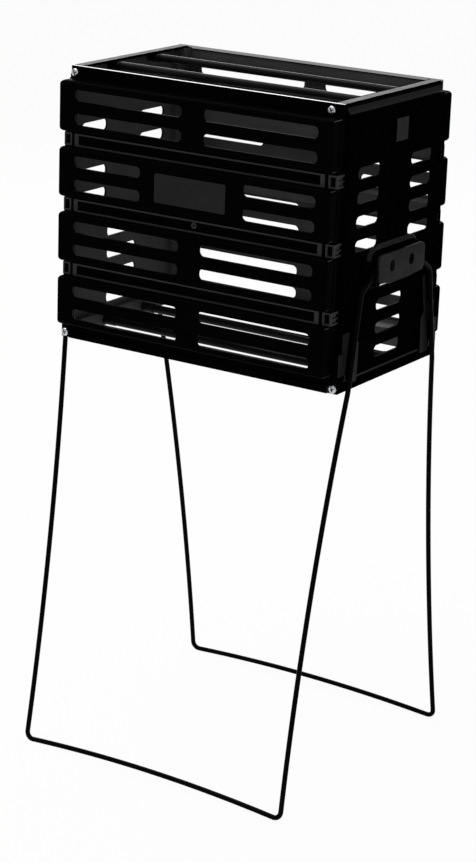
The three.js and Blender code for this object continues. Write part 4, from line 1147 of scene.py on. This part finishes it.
# Dark steel: the hub screws' own colour, and painted shade in the corner screws' cross recesses.
DARK_STEEL_AND_RECESS_SHADE = zinc_finish("dark_steel", (0.09, 0.09, 0.1, 1), (0.05, 0.05, 0.055, 1), 0.3)


def rim_top(centre, normal):
    return centre.z > RIM_TOP - 1.2 and normal.z > 0.8


def rim_bead(centre, normal):
    return centre.z > RIM_TOP - 2.6 and normal.y > 0.3 and normal.z > 0.35


def flange_top(centre, normal):
    return centre.z > RIM_TOP - 0.2 and normal.z > 0.9


def flange_edge(centre, normal):
    """The lower strips beside the flange's raised middle, and its outer round, painted shade."""
    return RIM_TOP - 3.0 < centre.z and normal.z > -0.3


def on_ledge(centre, normal):
    """Outer tops and undersides of the bands, and the lower edges of their slots."""
    sill = normal.z > 0.4 and centre.y < -BAND_FACE + WALL + 0.3
    edges = [band_top(band) for band in range(BAND_COUNT)]
    edges += [top - BAND_HEIGHT for top in edges]
    return sill or (abs(normal.z) > 0.5 and any(abs(centre.z - edge) < 1.2 for edge in edges))


def wall_inside(centre, normal):
    """What a look over the rim or through a slot shows of a long wall, painted lighter grey as the
    light inside the basket.
    """
    if on_ledge(centre, normal):
        return False
    behind_face = centre.y > -BAND_FACE + 0.6 and centre.z < BAND_TOP + 1.0
    faces_in = normal.y > 0.3
    past_sheet = centre.y > -BAND_FACE + WALL - 0.4
    hollow = past_sheet and normal.y > -0.3 and abs(centre.x) < RIM_END - 1.0
    rim_inside = BAND_TOP + 1.0 <= centre.z < RIM_TOP - LIP_BEHIND_RIM - 0.1 and faces_in
    return (behind_face and (faces_in or hollow)) or rim_inside


def groove_detail(centre, normal):
    """The raised lines in the grooves and the clip frames at their ends, painted lighter as painted
    highlights.
    """
    out = abs(centre.x)
    line = centre.y < -GROOVE_FACE - GROOVE_LINE_RISE + 0.05 and out < GROOVE_LINE_END + 0.7
    front = centre.y < -GROOVE_FACE - 0.1 and out > CLIP_POST - 3.1
    side = out > RIM_END + 0.1
    reach = 0.1 - CLIP_LOW
    in_groove = any(abs(centre.z - groove_centre(g)) < reach for g in range(BAND_COUNT - 1))
    outward = normal.y < -0.3 or normal.x * centre.x > 45.0
    return in_groove and outward and (line or front or side)


def ear_end(centre, normal):
    """The outer ends of the ears and of the clip frames, painted shade on the rear wall."""
    return abs(centre.x) > RIM_END - 1.0 and centre.z < BAND_TOP


def end_outside(centre, normal):
    """The outside of the end wall's sheet and what stands out from it, painted shade."""
    return normal.x > 0.95 and centre.x > END_FACE - 0.3


def end_inside(centre, normal):
    """The back of the end wall's sheet and the walls of its hollow, painted lighter grey as the light
    inside the basket.
    """
    if centre.x < END_INNER - 0.1:
        return centre.z < RIM_TOP - 1.0 and normal.z < 0.7
    in_wall = END_INNER - 0.2 < centre.x < END_FACE - 0.4 and centre.z < RIM_TOP - 3.0
    past_sheet = centre.x < END_FACE - END_SHEET - 0.1
    behind_sheet = normal.x < -0.3 or (normal.x < 0.3 and past_sheet)
    return in_wall and behind_sheet and abs(centre.y) < END_EDGE - 0.6


def end_cove(centre, normal):
    """The hollow round under the rim, and the leg stops and guides that stand out below, painted
    lighter grey as the light falling on them.
    """
    in_cove = COVE_TOP - COVE_HEIGHT - 0.5 < centre.z < COVE_TOP - 0.2
    cove = in_cove and centre.x > RIM_END
    beside_leg = END_LIP_TOP + 0.5 < centre.z < LEG_GUIDE_TOP + 1.0 and abs(centre.y) > 60.0
    stop = beside_leg and centre.x > END_FACE + 0.6
    return normal.x > 0.3 and (cove or stop)


def end_lip(centre, normal):
    """The slope on top of the lip at the end wall's foot, painted lighter as a painted highlight."""
    lip = END_LIP_TOP - 1.5 < centre.z < END_LIP_TOP + 0.5
    return lip and centre.x > END_FACE - 0.6 and normal.z > 0.3


def end_detail(centre, normal):
    """The face of the catch's tongue and the upper slope of the pivot pad, painted the cover's grey as
    painted light.
    """
    tongue = abs(centre.x - END_FACE - CATCH_TONGUE) < 0.1 and normal.x > 0.9
    slope = END_FACE < centre.x < PAD_FACE - 0.05 and 0.1 < normal.z < 0.98
    on_pad = PAD_TOP - 21.0 < centre.z < PAD_TOP + 1.0 and abs(centre.y) < PAD_HALF_WIDTH + 1.0
    return tongue or (slope and on_pad)


wall = long_wall()
# Painted light: lighter grey inside the wall and on the groove details, and painted highlights on the
# rim's top and inner bead.
paint(wall, (SHELL, None), (INSIDE_PAINTED_LIGHT, wall_inside), (RAISED_PAINTED_LIGHT, groove_detail))
paint(wall, (RIM_BEAD_HIGHLIGHT, rim_bead), (RIM_PAINTED_HIGHLIGHT, rim_top))
rear = half_turned(wall, "rear_wall")
# On the rear wall the rim's top is painted as light, and the ends of the ears and clip frames as
# shade.
paint(rear, (FLANGE_PAINTED_LIGHT, rim_top), (EDGE_PAINTED_SHADE, ear_end))
dress(wall, "front_panel", SHELL)
dress(rear, "rear_panel", SHELL)

right_end = end_wall()
# Painted shade on the sheet's outside and the flange's edge strips; painted light inside, in the cove,
# on the stops, lip, tongue, pad slope and flange strip.
paint(right_end, (SHELL, None), (EDGE_PAINTED_SHADE, end_outside), (INSIDE_PAINTED_LIGHT, end_inside), (COVE_PAINTED_LIGHT, end_cove))
paint(right_end, (RAISED_PAINTED_LIGHT, end_lip), (EDGE_PAINTED_SHADE, flange_edge), (COVER_PAINTED_LIGHT, end_detail), (FLANGE_PAINTED_LIGHT, flange_top))
dress_pair(right_end, "left_end_wall", ("right_end_panel", "left_end_panel"), SHELL)

# The hub covers take the grey painted as light on their faces.
covers = ("right_hub_cover", "left_hub_cover")
dress_pair(hub_cover(), "left_cover", covers, COVER_PAINTED_LIGHT)

legs = ("front_leg_frame", "rear_leg_frame")
dress_pair(wire_frame(), "rear_frame_wire", legs, WIRE, ("front_legs", "rear_legs"))

dress(label_plate(), "label_plate", LABEL)

FRONT_AND_REAR = ((-1, "front", "rear"), (1, "rear", "front"))

for level, height, radius in (
    ("top", TOP_BAR_HEIGHT, TOP_BAR_RADIUS),
    ("bottom", LOW_BAR_HEIGHT, LOW_BAR_RADIUS),
):
    for side, near, far in FRONT_AND_REAR:
        node = f"{level}_{near}_bar"
        roller = rolling_bar(f"{level}_{near}_roller", side * BAR_OFFSET, height, radius)
        soften(roller, 0)
        dress(roller, node, ROLLER, node)
    for side, near, far in FRONT_AND_REAR:
        y = side * BAR_OFFSET
        bush = bar_bush(f"{level}_{near}_collar_right", y, height, level == "top")
        bushes = (f"{level}_{near}_bush_right", f"{level}_{far}_bush_left")
        dress_pair(bush, f"{level}_{far}_collar_left", bushes, BUSH)

seat = -RIM_FACE - FIT_GAP
corner_screws = (
    ("top", TOP_SCREW_LEFT, TOP_SCREW_RIGHT, TOP_SCREW_HEIGHT),
    ("bottom", -LOW_SCREW_OFFSET, LOW_SCREW_OFFSET, LOW_SCREW_HEIGHT),
)
for level, left, right, height in corner_screws:
    for x, near, far in ((right, "right", "left"), (left, "left", "right")):
        name = f"front_{level}_{near}_pan_screw"
        place, out = (x, seat, height), (0, -1, 0)
        front = screw(name, place, out, *CORNER_SCREW_HEAD, 1.9, 12.0)
        # The cross recess is painted dark as painted shade.
        paint(front, (ZINC, None), (DARK_STEEL_AND_RECESS_SHADE, screw_recess_shade(place, out, *CORNER_SCREW_HEAD)))
        screws = (f"front_{level}_screw_{near}", f"rear_{level}_screw_{far}")
        dress_pair(front, f"rear_{level}_{far}_pan_screw", screws, ZINC)

hub_seat = PAD_FACE + FIT_GAP + WELL_FLOOR + FIT_GAP
for side, near, far in FRONT_AND_REAR:
    centre = (hub_seat, side * WELL_OFFSET, WELL_HEIGHT)
    right_screw = screw(f"right_cover_{near}_screw", centre, (1, 0, 0), 3.6, 2.0, 1.5, 13.0)
    screws = (f"right_hub_screw_{near}", f"left_hub_screw_{far}")
    dress_pair(right_screw, f"left_cover_{far}_screw", screws, DARK_STEEL_AND_RECESS_SHADE)


# Floor, light and camera

WHITE = (1, 1, 1, 1)
FILL_STRENGTH = 0.45


def studio_floor():
    """Pale floor that the camera sees as white paper, a little darker in the shadow."""
    shape = bmesh.new()
    bmesh.ops.create_grid(shape, x_segments=2, y_segments=2, size=30.0)
    floor = as_object(shape, "studio_floor")
    finish = Finish("studio_floor_white")
    cloud = finish.noise(3.0, 2.0, 0.5)
    colour = finish.blend(cloud, (0.78, 0.78, 0.78, 1), (0.82, 0.82, 0.82, 1))
    sockets = {"Base Color": colour, "Roughness": 0.9, "Specular IOR Level": 0.1}
    paper = finish.add("BsdfPrincipled", {}, sockets)
    white = finish.add("Emission", {}, {"Color": WHITE, "Strength": 1.0})
    seen = finish.add("LightPath", output="Is Camera Ray")
    mirrored = finish.add("LightPath", output="Is Glossy Ray")
    share = seen * 0.95 + mirrored * 0.1
    mixed = finish.add("MixShader", {}, {0: share, 1: paper, 2: white})
    floor.data.materials.append(finish.show(mixed))


def lamp(name, place, target, width, height, power):
    light = bpy.data.lights.new(name, "AREA")
    light.shape = "RECTANGLE"
    light.size = width
    light.size_y = height
    light.energy = power
    piece = in_scene(light, name)
    piece.location = place
    piece.rotation_euler = (Vector(target) - Vector(place)).to_track_quat("-Z", "Y").to_euler()
    piece.visible_camera = False


def studio_world():
    """White behind the hopper, and a weaker fill light from all round."""
    world = Finish("studio_world", bpy.data.worlds)
    fill = world.add("Background", {}, {"Color": WHITE, "Strength": FILL_STRENGTH})
    white = world.add("Background", {}, {"Color": WHITE, "Strength": 1.0})
    seen = world.add("LightPath", output="Is Camera Ray")
    mixed = world.add("MixShader", {}, {0: seen, 1: fill, 2: white})
    bpy.context.scene.world = world.show(mixed, "OutputWorld")


def photo_camera():
    """Where the photograph was taken from, worked out from the hopper's own lines."""
    azimuth, elevation, roll = 0.571034, 0.307481, 0.035772
    distance = 2.732728
    target = Vector((-0.008135, 0.0, RIM_TOP * MM - 0.401415))
    focal_pixels, picture_height = 2456.35, 862.0
    out = Vector((
        math.sin(azimuth) * math.cos(elevation),
        -math.cos(azimuth) * math.cos(elevation),
        math.sin(elevation),
    ))
    right = (-out).cross(Vector((0, 0, 1))).normalized()
    up = right.cross(-out)
    rolled_right = right * math.cos(roll) + up * math.sin(roll)
    rolled_up = up * math.cos(roll) - right * math.sin(roll)
    turn = Matrix((rolled_right, rolled_up, out)).transposed()
    data = bpy.data.cameras.new("photo_camera")
    data.sensor_fit = "VERTICAL"
    data.sensor_height = 36.0
    data.lens = 36.0 * focal_pixels / picture_height
    data.clip_end = 50.0
    camera = in_scene(data, "photo_camera")
    camera.matrix_world = Matrix.Translation(target + out * distance) @ turn.to_4x4()
    bpy.context.scene.camera = camera


studio_floor()
studio_world()
lamp("top_softbox", (-0.6, -0.3, 2.7), (0, 0, 0.5), 2.4, 1.6, 36.0)
lamp("rear_softbox", (-1.7, 2.6, 1.75), (0, 0, 0.75), 2.6, 1.1, 33.0)
photo_camera()
bpy.context.scene.view_settings.view_transform = "Standard"
